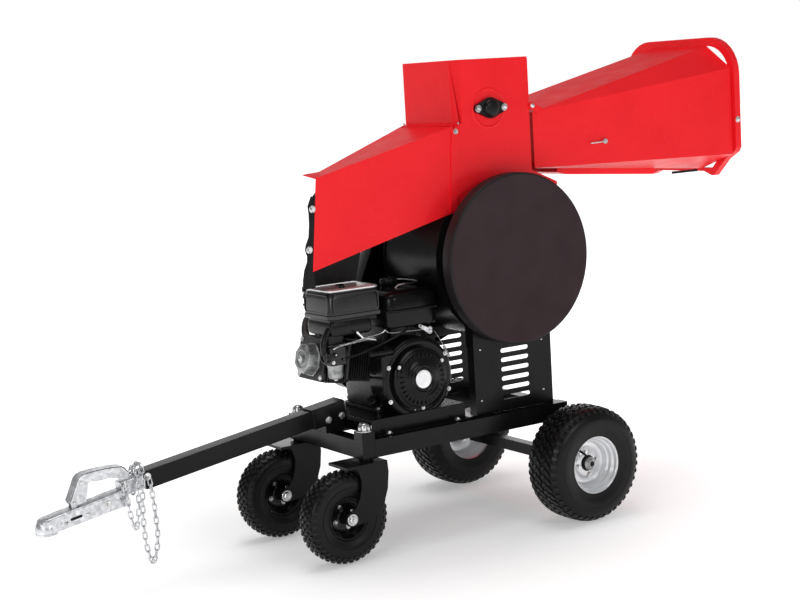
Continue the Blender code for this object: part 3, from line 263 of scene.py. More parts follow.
# ---------------------------------------------------------------- mesh tools
def new_piece(name, bm, material, body, smooth=35, bevel=None, segments=2):
    """A finished mesh (in axle lengths) as an object that rides on a body."""
    bmesh.ops.transform(bm, matrix=SHIFT, verts=bm.verts)
    bmesh.ops.recalc_face_normals(bm, faces=bm.faces)
    mesh = bpy.data.meshes.new(name)
    bm.to_mesh(mesh)
    bm.free()
    materials = material if isinstance(material, (list, tuple)) else [material]
    for m in materials:
        mesh.materials.append(m)
    mesh.shade_smooth()
    mesh.set_sharp_from_angle(angle=math.radians(smooth))
    obj = bpy.data.objects.new(name, mesh)
    bpy.context.scene.collection.objects.link(obj)
    if bevel:
        m = obj.modifiers.new("edge", "BEVEL")
        m.width = bevel
        m.segments = segments
        m.limit_method = "ANGLE"
        m.angle_limit = math.radians(30)
        m.harden_normals = True
    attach(obj, body)
    return obj


def paint(bm, start, index):
    bm.faces.ensure_lookup_table()
    for f in bm.faces[start:]:
        f.material_index = index


def frame_of(direction):
    """Two directions square to a direction."""
    w = V(direction).normalized()
    u = w.cross(V((0, 0, 1)))
    if u.length < 1e-3:
        u = w.cross(V((1, 0, 0)))
    u.normalize()
    return u, w.cross(u).normalized(), w


def add_box(bm, lo, hi, turn=None, index=0):
    start = len(bm.faces)
    made = bmesh.ops.create_cube(bm, size=1)["verts"]
    lo, hi = V(lo), V(hi)
    for v in made:
        v.co = V([(lo[i] + hi[i]) / 2 + v.co[i] * (hi[i] - lo[i]) for i in range(3)])
    if turn is not None:
        bmesh.ops.transform(bm, matrix=turn, verts=made)
    paint(bm, start, index)
    return made


def add_rings(bm, rings, index=0, caps=True, wrap=False):
    """Joins rings of points with quads, with flat caps at the two ends."""
    start = len(bm.faces)
    rows = [[bm.verts.new(p) for p in ring] for ring in rings]
    n = len(rows[0])
    pairs = list(zip(rows, rows[1:])) + ([(rows[-1], rows[0])] if wrap else [])
    for a, b in pairs:
        for i in range(n):
            j = (i + 1) % n
            bm.faces.new((a[i], a[j], b[j], b[i]))
    if caps and not wrap:
        bm.faces.new(rows[0][::-1])
        bm.faces.new(rows[-1])
    paint(bm, start, index)
    return rows


def add_cylinder(bm, a, b, r, seg=24, r2=None, index=0):
    a, b = V(a), V(b)
    u, v, _ = frame_of(b - a)
    r2 = r if r2 is None else r2
    rings = []
    for centre, radius in ((a, r), (b, r2)):
        rings.append([centre + (u * math.cos(t) + v * math.sin(t)) * radius for t in (2 * math.pi * i / seg for i in range(seg))])
    add_rings(bm, rings, index)


def add_turned(bm, profile, centre, axis, seg=64, index=0, closed=True):
    """A (radius, height) profile spun about an axis; points on the axis make a pole."""
    start = len(bm.faces)
    u, v, w = frame_of(axis)
    centre = V(centre)
    rows = []
    for r, h in profile:
        if r < 1e-6:
            rows.append([bm.verts.new(centre + w * h)])
        else:
            rows.append([bm.verts.new(centre + w * h + (u * math.cos(t) + v * math.sin(t)) * r) for t in (2 * math.pi * i / seg for i in range(seg))])
    pairs = list(zip(rows, rows[1:]))
    if closed and len(rows[0]) > 1 and len(rows[-1]) > 1:
        pairs.append((rows[-1], rows[0]))
    for a, b in pairs:
        for i in range(seg):
            j = (i + 1) % seg
            if len(a) == 1 and len(b) == 1:
                break
            if len(a) == 1:
                bm.faces.new((a[0], b[j], b[i]))
            elif len(b) == 1:
                bm.faces.new((a[i], a[j], b[0]))
            else:
                bm.faces.new((a[i], a[j], b[j], b[i]))
    paint(bm, start, index)


def add_tube(bm, points, r, seg=10, index=0, wrap=False):
    """A round wire along points, its section carried along without twist."""
    pts = [V(p) for p in points]
    n = len(pts)
    rings = []
    u = None
    for i, p in enumerate(pts):
        if wrap:
            d = pts[(i + 1) % n] - pts[i - 1]
        else:
            d = pts[min(i + 1, n - 1)] - pts[max(i - 1, 0)]
        d.normalize()
        if u is None:
            u = frame_of(d)[0]
        else:
            u = (u - d * u.dot(d)).normalized()
        v = d.cross(u)
        radius = r(i / max(1, n - 1)) if callable(r) else r
        rings.append([p + (u * math.cos(t) + v * math.sin(t)) * radius for t in (2 * math.pi * k / seg for k in range(seg))])
    add_rings(bm, rings, index, caps=not wrap, wrap=wrap)


def add_plate(bm, outline, plane, lo, hi, index=0, turn=None):
    """A flat outline in plane XZ, YZ or XY, extruded from lo to hi along the third axis."""
    where = {"XZ": lambda a, b, c: (a, c, b), "YZ": lambda a, b, c: (c, a, b), "XY": lambda a, b, c: (a, b, c)}[plane]
    rings = [[V(where(a, b, c)) for a, b in outline] for c in (lo, hi)]
    if turn is not None:
        rings = [[turn @ p for p in ring] for ring in rings]
    add_rings(bm, rings, index)


def arc(cx, cz, r, a0, a1, n):
    return [(cx + r * math.cos(math.radians(a0 + (a1 - a0) * i / n)), cz + r * math.sin(math.radians(a0 + (a1 - a0) * i / n))) for i in range(n + 1)]


def rounded(x0, z0, x1, z1, r, n=6):
    return (
        arc(x1 - r, z1 - r, r, 0, 90, n) + arc(x0 + r, z1 - r, r, 90, 180, n)
        + arc(x0 + r, z0 + r, r, 180, 270, n) + arc(x1 - r, z0 + r, r, 270, 360, n)
    )


def add_bolt(bm, at, direction, r=0.0065, washer=True, socket=False, index=0, head=None, dome=False):
    """A hexagon bolt head on a washer, standing on a surface."""
    at, d = V(at), V(direction).normalized()
    u, v, w = frame_of(d)
    h = head or r * 0.75
    t = 0.0
    if washer:
        add_turned(bm, [(0, 0.0016), (r * 1.45, 0.0016), (r * 1.55, 0.0010), (r * 1.55, -0.0006), (0, -0.0006)], at, d, 20, index)
        t = 0.0014
    hexagon = [(r * math.cos(math.radians(60 * i + 15)), r * math.sin(math.radians(60 * i + 15))) for i in range(6)]
    levels = [(1.0, t - 0.0004), (1.0, t + h * 0.78), (0.86, t + h)]
    if dome:
        levels = [(1.0, t - 0.0004), (1.0, t + h * 0.55), (0.80, t + h * 0.85), (0.45, t + h * 1.05)]
    add_rings(bm, [[at + w * z + (u * x + v * y) * k for x, y in hexagon] for k, z in levels], index)
    if socket:
        add_cylinder(bm, at + w * (t + h * 0.8), at + w * (t + h * 1.25), r * 0.42, 12, index=index)


def dress(node, material, bevel=0.0012, segments=2, angle=28, smooth=32):
    """A solid whose shape is right: its material, welded corners and softened edges."""
    obj = NODES[node]
    mesh = obj.data
    if mesh.attributes.get("custom_normal"):
        mesh.attributes.remove(mesh.attributes["custom_normal"])
    mesh.materials.clear()
    mesh.materials.append(material)
    for p in mesh.polygons:
        p.material_index = 0
    mesh.shade_smooth()
    m = obj.modifiers.new("weld", "WELD")
    m.merge_threshold = 0.00002
    m = obj.modifiers.new("planar", "DECIMATE")
    m.decimate_type = "DISSOLVE"
    m.angle_limit = math.radians(0.6)
    m.delimit = {"MATERIAL"}
    if bevel:
        m = obj.modifiers.new("edge", "BEVEL")
        m.width = bevel
        m.segments = segments
        m.limit_method = "ANGLE"
        m.angle_limit = math.radians(angle)
        m.use_clamp_overlap = True
        m.harden_normals = False
    m = obj.modifiers.new("flat", "WEIGHTED_NORMAL")
    m.keep_sharp = False
    return obj


def solid_of(node):
    """A copy of a solid's mesh in axle lengths, its flat faces joined up."""
    bm = bmesh.new()
    bm.from_mesh(NODES[node].data)
    bmesh.ops.transform(bm, matrix=SHIFT.inverted(), verts=bm.verts)
    bmesh.ops.remove_doubles(bm, verts=bm.verts, dist=0.00002)
    return bm


def paint_below(bm, z, index):
    """Splits the faces at height z and gives those below another material."""
    bmesh.ops.bisect_plane(bm, geom=bm.verts[:] + bm.edges[:] + bm.faces[:], plane_co=(0, 0, z), plane_no=(0, 0, 1), dist=1e-6)
    for f in bm.faces:
        if f.calc_center_median().z < z:
            f.material_index = index


def fold_corner(bm, z):
    """Cuts the tower's near left corner away above height z, where the sheet is folded across it."""
    bmesh.ops.bisect_plane(bm, geom=bm.verts[:] + bm.edges[:] + bm.faces[:], plane_co=(0, 0, z), plane_no=(0, 0, 1), dist=1e-6)
    upper = [f for f in bm.faces if f.calc_center_median().z > z]
    edges = list({e for f in upper for e in f.edges})
    verts = list({v for f in upper for v in f.verts})
    bmesh.ops.bisect_plane(bm, geom=verts + edges + upper, plane_co=(-0.3005, -0.1415, 0), plane_no=(-0.047, -0.009, 0), clear_outer=True, dist=1e-6)
    bmesh.ops.holes_fill(bm, edges=[e for e in bm.edges if e.is_boundary], sides=0)
    bmesh.ops.triangulate(bm, faces=[f for f in bm.faces if len(f.verts) > 4 and abs(f.normal.x) > 0.3 and abs(f.normal.z) > 0.1])


# ---------------------------------------------------------------- stage
def stage():
    bm = bmesh.new()
    bmesh.ops.create_grid(bm, x_segments=1, y_segments=1, size=40)
    for v in bm.verts:
        v.co.z = -0.0004
    mesh = bpy.data.meshes.new("studio_floor")
    bm.to_mesh(mesh)
    bm.free()
    m = Nodes("studio_floor", Roughness=0.85)
    m.shader.inputs["Specular IOR Level"].default_value = 0.1
    m.set("Base Color", m.ramp(m.noise(1.2, 4.0), (0.92, 0.92, 0.92), (0.95, 0.95, 0.95)))
    # the floor glows more the farther it is from the object, so it runs into the white background
    away = m.add("VectorMath", operation="LENGTH")
    m.link(m.coords, away.inputs[0])
    m.set("Emission Color", m.ramp(m.spread(away.outputs["Value"], 0.0, 1.0, 0.5, 2.3), (0.30, 0.30, 0.30), (1.0, 1.0, 1.0), 0.0, 1.0))
    m.shader.inputs["Emission Strength"].default_value = 1.0
    mesh.materials.append(m.material)
    floor = bpy.data.objects.new("studio_floor", mesh)
    bpy.context.scene.collection.objects.link(floor)

    world = bpy.data.worlds.new("studio")
    bpy.context.scene.world = world
    world.use_nodes = True
    tree = world.node_tree
    soft = tree.nodes["Background"]
    soft.inputs["Color"].default_value = (1, 1, 1, 1)
    soft.inputs["Strength"].default_value = 0.24
    white = tree.nodes.new("ShaderNodeBackground")
    white.inputs["Color"].default_value = (1, 1, 1, 1)
    white.inputs["Strength"].default_value = 1.0
    seen = tree.nodes.new("ShaderNodeLightPath")
    mix = tree.nodes.new("ShaderNodeMixShader")
    tree.links.new(seen.outputs["Is Camera Ray"], mix.inputs["Fac"])
    tree.links.new(soft.outputs[0], mix.inputs[1])
    tree.links.new(white.outputs[0], mix.inputs[2])
    tree.links.new(mix.outputs[0], tree.nodes["World Output"].inputs["Surface"])

    def panel(name, at, target, size, size_y, radiance):
        data = bpy.data.lights.new(name, "AREA")
        data.shape = "RECTANGLE"
        data.size, data.size_y = size, size_y
        data.energy = radiance * math.pi * size * size_y
        lamp = bpy.data.objects.new(name, data)
        bpy.context.scene.collection.objects.link(lamp)
        lamp.location = at
        lamp.rotation_mode = "QUATERNION"
        lamp.rotation_quaternion = (V(target) - V(at)).to_track_quat("-Z", "Y")
        lamp.visible_camera = False
        return lamp

    panel("overhead", (-0.3, 0.3, 4.8), (0, 0, 0.8), 3.6, 2.6, 2.6)
    panel("front_left", (-7.0, -4.6, 3.0), (0, 0, 0.9), 2.6, 2.2, 6.6)
    panel("front", (1.2, -7.5, 3.2), (0, 0, 0.9), 3.0, 1.6, 5.4)
    panel("behind", (2.6, 7.5, 1.9), (0, 0, 0.8), 9.0, 2.6, 1.4)
    panel("right", (6.5, -1.0, 2.6), (0.2, 0, 1.0), 2.4, 2.4, 1.2)
    bpy.context.scene.view_settings.view_transform = "Standard"
    bpy.context.scene.view_settings.look = "None"


stage()


# ---------------------------------------------------------------- safety chain
def smooth_line(knots, step):
    """Points about step apart on a smooth curve through the knots (centripetal spline)."""
    k = [V(p) for p in knots]
    k = [k[0] * 2 - k[1]] + k + [k[-1] * 2 - k[-2]]
    out = []
    for i in range(1, len(k) - 2):
        p0, p1, p2, p3 = k[i - 1 : i + 3]
        t0 = 0.0
        t1 = t0 + max((p1 - p0).length, 1e-9) ** 0.5
        t2 = t1 + max((p2 - p1).length, 1e-9) ** 0.5
        t3 = t2 + max((p3 - p2).length, 1e-9) ** 0.5
        n = max(1, round((p2 - p1).length / step))
        for j in range(n):
            t = t1 + (t2 - t1) * j / n
            a1 = p0 * ((t1 - t) / (t1 - t0)) + p1 * ((t - t0) / (t1 - t0))
            a2 = p1 * ((t2 - t) / (t2 - t1)) + p2 * ((t - t1) / (t2 - t1))
            a3 = p2 * ((t3 - t) / (t3 - t2)) + p3 * ((t - t2) / (t3 - t2))
            b1 = a1 * ((t2 - t) / (t2 - t0)) + a2 * ((t - t0) / (t2 - t0))
            b2 = a2 * ((t3 - t) / (t3 - t1)) + a3 * ((t - t1) / (t3 - t1))
            out.append(b1 * ((t2 - t) / (t2 - t1)) + b2 * ((t - t1) / (t2 - t1)))
    out.append(k[-2])
    return out


CHAIN_KNOTS = [
    (-1.5740, -0.0400, 0.3560), (-1.5720, -0.0470, 0.3150), (-1.5670, -0.0500, 0.2600), (-1.5540, -0.0510, 0.2130),
    (-1.5400, -0.0500, 0.2600), (-1.5340, -0.0480, 0.3300), (-1.5290, -0.0400, 0.3820), (-1.5230, 0.0000, 0.4010),
    (-1.5190, 0.0400, 0.3840), (-1.5170, 0.0500, 0.3350), (-1.5110, 0.0520, 0.2950), (-1.5050, 0.0500, 0.3350),
    (-1.5040, 0.0430, 0.3920), (-1.5070, 0.0000, 0.4090), (-1.5135, -0.0430, 0.3900), (-1.5230, -0.0540, 0.3300),
    (-1.5280, -0.0560, 0.2500), (-1.5250, -0.0560, 0.1600), (-1.5060, -0.0560, 0.0960), (-1.4860, -0.0560, 0.1600),
    (-1.4860, -0.0550, 0.2500), (-1.4900, -0.0500, 0.3300), (-1.4920, -0.0440, 0.3660),
]


def chain():
    line = smooth_line(CHAIN_KNOTS, 0.004)
    along = [0.0]
    for a, b in zip(line, line[1:]):
        along.append(along[-1] + (b - a).length)
    total = along[-1]

    def on_line(s):
        s = min(max(s, 0.0), total)
        k = 0
        while k < len(along) - 2 and along[k + 1] < s:
            k += 1
        return line[k].lerp(line[k + 1], (s - along[k]) / (along[k + 1] - along[k]))

    count = round(total / 0.0212)
    pitch = total / count
    bm = bmesh.new()
    side = None
    wire, half_width = 0.0025, 0.0063
    for i in range(count):
        a, b = on_line(i * pitch), on_line((i + 1) * pitch)
        at = (a + b) / 2
        d = (b - a).normalized()
        straight = max((b - a).length / 2 + wire * 0.85 - half_width, 0.0015)
        side = frame_of(d)[0] if side is None else (side - d * side.dot(d)).normalized()
        other = d.cross(side)
        turn = math.radians(38 + 90 * (i % 2) + 7 * math.sin(i * 1.7))
        flat = side * math.cos(turn) + other * math.sin(turn)
        ring = []
        for j in range(9):
            t = math.pi * j / 8
            ring.append(at + d * (straight + half_width * math.sin(t)) + flat * half_width * math.cos(t))
        for j in range(9):
            t = math.pi + math.pi * j / 8
            ring.append(at + d * (-straight + half_width * math.sin(t)) + flat * half_width * math.cos(t))
        add_tube(bm, ring, wire, 8, wrap=True)
    obj = new_piece("chain_links", bm, ZINC, "chassis", 60)
    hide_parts("safety_chain")
    # the shackle at the coupler and the end link bolted to the bar
    bm = bmesh.new()
    a = line[0]
    add_tube(bm, [a + V((0, 0.010, 0.004)), a + V((0, 0.002, 0.012)), a + V((0, -0.004, 0.008)), a + V((0, -0.004, -0.006)), a + V((0, 0.004, -0.010)), a + V((0, 0.012, -0.004))], 0.0030, 10)
    add_bolt(bm, (-1.4920, -0.0312, 0.3690), (0, -1, 0), 0.0080)
    new_piece("chain_anchors", bm, BOLT, "chassis", 30)


chain()


# ---------------------------------------------------------------- wheels
def spline_radius(half, y):
    y = abs(y)
    for (a, ra), (b, rb) in zip(half, half[1:]):
        if a <= y <= b:
            return ra + (rb - ra) * (y - a) / max(b - a, 1e-9)
    return half[-1][1]


def refine(points, times=2):
    """Rounds a profile line by cutting its corners."""
    for _ in range(times):
        out = [points[0]]
        for a, b in zip(points, points[1:]):
            out.append((a[0] * 0.75 + b[0] * 0.25, a[1] * 0.75 + b[1] * 0.25))
            out.append((a[0] * 0.25 + b[0] * 0.75, a[1] * 0.25 + b[1] * 0.75))
        out.append(points[-1])
        points = out
    return points


def tyre(name, centre, side, half, inner, blocks, body, node, seg=96, ribs=()):
    """A casing spun about y, its tread blocks standing on it. half lists (offset, radius) from the crown to the bead."""
    centre = V(centre)
    bm = bmesh.new()
    line = refine(half)
    outer = [(r, -y) for y, r in reversed(line)] + [(r, y) for y, r in line[1:]]
    inside = [(r, y) for y, r in reversed(inner)] + [(r, -y) for y, r in inner[1:]]
    add_turned(bm, outer + inside, centre, (0, 1, 0), seg)
    for r0, y0, w in ribs:
        for s in (1, -1):
            add_turned(bm, [(r0 + w, s * (y0 - 0.0006)), (r0 + w * 0.5, s * (y0 + 0.0016)), (r0 - w * 0.5, s * (y0 + 0.0016)), (r0 - w, s * (y0 - 0.0006))], centre, (0, 1, 0), seg)

    def point(t, y, h):
        r = spline_radius(line, y)
        slope = (spline_radius(line, y + 0.0005 * (1 if y >= 0 else -1)) - r) / 0.0005 * (1 if y >= 0 else -1)
        n = V((-slope, 1)).normalized()  # (along y, outwards)
        r, y = r + n.y * h, y + n.x * h
        return centre + V((math.sin(t) * r, y, math.cos(t) * r))

    crown = line[0][1]
    first = len(bm.faces)
    for t0, y0, shape, height in blocks:
        cx = sum(p[0] for p in shape) / len(shape)
        cy = sum(p[1] for p in shape) / len(shape)
        rings = []
        for k, h in ((1.06, -0.0015), (1.0, height * 0.75), (0.90, height)):
            rings.append([point(t0 + (cx + (x - cx) * k) / crown, y0 + cy + (y - cy) * k, h) for x, y in shape])
        add_rings(bm, rings)
    paint(bm, first, 1)
    obj = new_piece(name, bm, [TYRE, TREAD], body, 34)
    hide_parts(node)
    return obj


def turf_blocks(crown, count):
    """Rows of slanted blocks that zigzag across the tread, and lugs on the shoulders."""
    p = 2 * math.pi * crown / count
    out = []
    for i in range(count):
        t = 2 * math.pi * i / count
        for row, (y, w, lean) in enumerate(((-0.047, 0.0185, 0.55), (-0.0255, 0.0180, -0.55), (-0.0045, 0.0175, 0.55), (0.0165, 0.0180, -0.55), (0.0375, 0.0185, 0.55))):
            shift = (row % 2) * 0.5
            h = w / 2
            k = lean * h
            shape = [(-0.31 * p - k, -h), (0.10 * p - k, -h), (0.31 * p, -0.1 * h), (0.31 * p + k, h), (-0.10 * p + k, h), (-0.31 * p, 0.1 * h)]
            out.append((t + shift * p / crown, y + 0.005, shape, 0.0045))
        for s in (-1, 1):
            shape = [(-0.26 * p, -0.006), (0.26 * p, -0.006), (0.20 * p, 0.0055), (-0.20 * p, 0.0055)]
            if s < 0:
                shape = [(x, -y) for x, y in reversed(shape)]
            out.append((t + (0.25 + 0.25 * s) * p / crown, s * 0.0655, shape, 0.0040))
    return out


def knob_blocks(crown, count):
    p = 2 * math.pi * crown / count
    out = []
    for i in range(count):
        t = 2 * math.pi * i / count
        for row, (y, a, b) in enumerate(((-0.0285, 0.0068, 0.0052), (-0.0145, 0.0072, 0.0050), (0.0, 0.0072, 0.0052), (0.0145, 0.0072, 0.0050), (0.0285, 0.0068, 0.0052))):
            shape = [(-a, 0), (-a * 0.45, -b), (a * 0.45, -b), (a, 0), (a * 0.45, b), (-a * 0.45, b)]
            out.append((t + (row % 2) * 0.5 * p / crown, y, shape, 0.0050))
        for s in (-1, 1):
            out.append((t + 0.5 * p / crown, s * 0.0392, [(-0.0045, -0.0030), (0.0045, -0.0030), (0.0045, 0.0030), (-0.0045, 0.0030)], 0.0035))
    return out


REAR_HALF = [
    (0, 0.1985), (0.020, 0.1983), (0.040, 0.1972), (0.054, 0.1944), (0.0650, 0.1895), (0.0735, 0.1800), (0.0790, 0.1660),
    (0.0812, 0.1510), (0.0805, 0.1380), (0.0785, 0.1270), (0.0762, 0.1180), (0.0746, 0.1110), (0.0736, 0.1050), (0.0726, 0.1008),
    (0.0711, 0.0996), (0.0702, 0.1008), (0.0702, 0.1130), (0.0670, 0.1150),
]
REAR_INNER = [(0.0, 0.1900), (0.050, 0.1860), (0.066, 0.1760), (0.0720, 0.1500), (0.0650, 0.1250), (0.0630, 0.1150)]
CASTER_HALF = [
    (0, 0.1500), (0.012, 0.1497), (0.024, 0.1480), (0.0325, 0.1440), (0.0390, 0.1370), (0.0430, 0.1275), (0.0446, 0.1150),
    (0.0436, 0.1020), (0.0405, 0.0900), (0.0372, 0.0810), (0.0362, 0.0752), (0.0330, 0.0730),
]
CASTER_INNER = [(0.0, 0.1430), (0.024, 0.1400), (0.0345, 0.1300), (0.0370, 0.1130), (0.0310, 0.0900), (0.0300, 0.0734)]
REAR_RIM = [
    (0.1138, 0.0645), (0.1142, 0.0670), (0.1132, 0.0688), (0.1108, 0.0694), (0.1010, 0.0694), (0.0972, 0.0690), (0.0952, 0.0676),
    (0.0942, 0.0640), (0.0934, 0.0560), (0.0918, 0.0528), (0.0885, 0.0512), (0.0862, 0.0492), (0.0850, 0.0450), (0.0842, 0.0385),
    (0.0826, 0.0358), (0.0795, 0.0344), (0.0775, 0.0322), (0.0764, 0.0260), (0.0757, 0.0160), (0.0742, 0.0124), (0.0705, 0.0106), (0.0560, 0.0125),
    (0.0520, 0.0140), (0.0480, 0.0185), (0.0440, 0.0210), (0.0236, 0.0225), (0.0232, 0.0335), (0.0222, 0.0346), (0.0125, 0.0346),
    (0.0104, 0.0336), (0.0104, -0.0500), (0.0225, -0.0500), (0.0225, 0.0185), (0.0435, 0.0180), (0.0470, 0.0158), (0.0510, 0.0110),
    (0.0560, 0.0095), (0.0700, 0.0076), (0.0810, 0.0060), (0.0838, 0.0020), (0.0848, -0.0300), (0.0870, -0.0340), (0.0965, -0.0560), (0.1005, -0.0650),
    (0.1060, -0.0685), (0.1110, -0.0692), (0.1138, -0.0672), (0.1138, -0.0645), (0.1080, -0.0640), (0.1035, -0.0620),
    (0.0995, -0.0560), (0.0900, -0.0330), (0.0880, -0.0290), (0.0880, 0.0120), (0.0883, 0.0242), (0.0890, 0.0312), (0.0908, 0.0337),
    (0.0940, 0.0354), (0.0958, 0.0382), (0.0968, 0.0437), (0.0982, 0.0474), (0.1010, 0.0490), (0.1042, 0.0504), (0.1058, 0.0532),
    (0.1068, 0.0592), (0.1082, 0.0634),
]
CASTER_RIM_A = [
    (0.0718, 0.0303), (0.0723, 0.0325), (0.0713, 0.0342), (0.0694, 0.0347), (0.0668, 0.0334), (0.0640, 0.0300), (0.0612, 0.0245),
    (0.0590, 0.0207), (0.0562, 0.0187), (0.0536, 0.0176), (0.0518, 0.0150), (0.0510, 0.0080), (0.0500, 0.0050), (0.0480, 0.0035),
    (0.0255, 0.0035), (0.0215, 0.0052), (0.0192, 0.0092), (0.0184, 0.0468), (0.0178, 0.0477), (0.0100, 0.0477), (0.0087, 0.0468),
]
CASTER_RIM = CASTER_RIM_A + [(r, -h) for r, h in reversed(CASTER_RIM_A)] + [
    (0.0652, -0.0288), (0.0605, -0.0180), (0.0578, -0.0120), (0.0578, 0.0120), (0.0605, 0.0180), (0.0652, 0.0288),
]
for where, side in SIDES:
    body = f"wheel_{where}"
    centre = V((0, side * 0.3725, 0.203))
    tyre(f"turf_tyre_{where}", centre, side, REAR_HALF, REAR_INNER, turf_blocks(0.1985, 44), body, f"rear_tyre_{where}", 110, ribs=((0.1500, 0.0802, 0.0016), (0.1290, 0.0766, 0.0020)))
    bm = bmesh.new()
    add_turned(bm, REAR_RIM, centre, (0, side, 0), 96)
    obj = new_piece(f"stepped_rim_{where}", bm, RIM_WHITE, body, 40)
    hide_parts(f"rear_rim_{where}")
    bm = bmesh.new()
    for i in range(4):
        a = math.radians(100 + 90 * i)
        add_bolt(bm, centre + V((0.0410 * math.cos(a), side * 0.0214, 0.0410 * math.sin(a))), (0, side, 0), 0.0066)
        add_bolt(bm, centre + V((0.0410 * math.cos(a), side * 0.0172, 0.0410 * math.sin(a))), (0, -side, 0), 0.0055, washer=False)
    new_piece(f"rim_bolts_{where}", bm, BOLT, body, 30)
    bm = bmesh.new()
    a = math.radians(128)
    d = V((math.cos(a), 0, math.sin(a)))
    out = V((0, side, 0))
    foot = centre + d * 0.0765 + out * 0.022
    tip = centre + d * 0.0440 + out * 0.0500
    add_tube(bm, [foot, foot.lerp(tip, 0.3), foot.lerp(tip, 0.7), tip], lambda t: 0.0048 - 0.0014 * t, 12)
    add_cylinder(bm, tip, tip + (tip - foot).normalized() * 0.010, 0.0040, 10)
    new_piece(f"valve_stem_{where}", bm, RUBBER, body, 40)
    bm = bmesh.new()
    add_turned(bm, [(0.0236, 0.0215), (0.0285, 0.0218), (0.0285, 0.0232), (0.0246, 0.0238), (0.0240, 0.0340), (0.0232, 0.0350), (0.0228, 0.0340)], centre, (0, side, 0), 48)
    new_piece(f"hub_sleeve_{where}", bm, RIM_BLACK, body, 40)
    bm = bmesh.new()
    add_turned(bm, [(0.0100, 0.0475), (0.0225, 0.0365), (0.0225, 0.0350), (0.0100, 0.0350)], centre, (0, side, 0), 32)
    end = centre + out * 0.0440
    add_rings(bm, [[end + out * z + V((0.0155 * k * math.cos(math.radians(60 * i)), 0, 0.0155 * k * math.sin(math.radians(60 * i)))) for i in range(6)] for k, z in ((1, -0.0075), (1, 0.0010), (0.88, 0.0030))])
    add_tube(bm, [end + V((0, 0, 0.0155)) + out * -0.002, end + V((0, 0, 0.0185)) + out * 0.001, end + V((0.003, 0, 0.019)) + out * 0.003], 0.0012, 6)
    new_piece(f"spindle_end_{where}", bm, STEEL, "chassis", 35)

    centre = V((-0.8946, side * 0.2175, 0.155))
    body = f"caster_wheel_{where}"
    tyre(f"knobbed_tyre_{where}", centre, side, CASTER_HALF, CASTER_INNER, knob_blocks(0.150, 38), body, f"caster_tyre_{where}", 96, ribs=((0.1020, 0.0434, 0.0016),))
    bm = bmesh.new()
    add_turned(bm, CASTER_RIM, centre, (0, 1, 0), 72)
    obj = new_piece(f"split_rim_{where}", bm, RIM_BLACK, body, 40)
    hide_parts(f"caster_rim_{where}")
    bm = bmesh.new()
    for s in (1, -1):
        for i in range(4):
            a = math.radians(22 + 90 * i)
            add_bolt(bm, centre + V((0.0370 * math.cos(a), s * 0.0035, 0.0370 * math.sin(a))), (0, s, 0), 0.0055)
        add_turned(bm, [(0.0178, 0.0470), (0.0178, 0.0500), (0.0090, 0.0505), (0.0090, 0.0470)], centre, (0, s, 0), 28)
    a = math.radians(200)
    foot = centre + V((0.0530 * math.cos(a), side * 0.012, 0.0530 * math.sin(a)))
    add_cylinder(bm, foot, foot + V((-0.012 * math.cos(a), side * 0.014, -0.012 * math.sin(a))), 0.0035, 10)
    new_piece(f"caster_rim_bolts_{where}", bm, BOLT, body, 30)
    # axle bolt, nut and the swivel's domed nut
    fork_body = f"caster_{where}"
    bm = bmesh.new()
    for s in (1, -1):
        face = centre + V((0, s * 0.0580, 0))
        add_turned(bm, [(0, 0.0022), (0.0185, 0.0022), (0.0195, 0.0012), (0.0195, -0.0002), (0, -0.0002)], face, (0, s, 0), 28)
        add_rings(bm, [[face + V((0.0146 * k * math.cos(math.radians(60 * i + 10)), s * z, 0.0146 * k * math.sin(math.radians(60 * i + 10)))) for i in range(6)] for k, z in ((1, 0.0015), (1, 0.0088), (0.86, 0.0105))])
        add_cylinder(bm, face + V((0, s * 0.0090, 0)), face + V((0, s * 0.0145, 0)), 0.0078, 18, 0.0070)
    new_piece(f"caster_axle_nuts_{where}", bm, BOLT, fork_body, 30)
    bm = bmesh.new()
    top = V((-0.795, side * 0.2175, 0.4252))
    add_turned(bm, [(0, 0.0030), (0.0265, 0.0030), (0.0275, 0.0018), (0.0275, 0.0), (0, 0.0)], top, (0, 0, 1), 32)
    add_rings(bm, [[top + V((0.0216 * math.cos(math.radians(60 * i)), 0.0216 * math.sin(math.radians(60 * i)), z)) for i in range(6)] for z in (0.0025, 0.0145)])
    add_turned(bm, [(0.0190, 0.0140), (0.0186, 0.0180), (0.0165, 0.0225), (0.0125, 0.0262), (0.0070, 0.0284), (0, 0.0290)], top, (0, 0, 1), 28, closed=False)
    new_piece(f"swivel_nut_{where}", bm, BOLT, fork_body, 30)


# ---------------------------------------------------------------- frame, tower and chute: right shapes, softened edges
for node in ("frame_rail_near", "frame_rail_far", "frame_front_beam", "frame_rear_beam"):
    dress(node, BLACK, 0.0050, 3)
dress("rear_axle", BLACK, 0.0030, 3, 40)
dress("tow_bar", BLACK, 0.0050, 3, 40)
dress("tow_sleeve", BLACK, 0.0040, 3, 40)
dress("engine_base_plate", BLACK, 0.0024, 3)
for where, side in SIDES:
    dress(f"base_panel_{where}", BLACK, 0.0010, 2)
    dress(f"caster_fork_{where}", BLACK, 0.0012, 2, 40)
    dress(f"rotor_bearing_{where}", BLACK, 0.0015, 2)
for where, side in SIDES:
    bm = solid_of(f"housing_side_{where}")
    # the side plates are red above height 1.100 and black below it
    paint_below(bm, 1.100, 1)
    if side < 0:
        fold_corner(bm, 1.4045)
    plate_piece = new_piece(f"red_and_black_side_{where}", bm, [RED, BLACK], "chassis", 32, bevel=0.0012)
    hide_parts(f"housing_side_{where}")
bm = solid_of("tower_cap")
fold_corner(bm, 1.4055)
add_plate(bm, [(-0.3050, -0.1182), (-0.2962, -0.1648), (-0.2932, -0.1640), (-0.3020, -0.1175)], "XY", 1.4060, 1.6170)
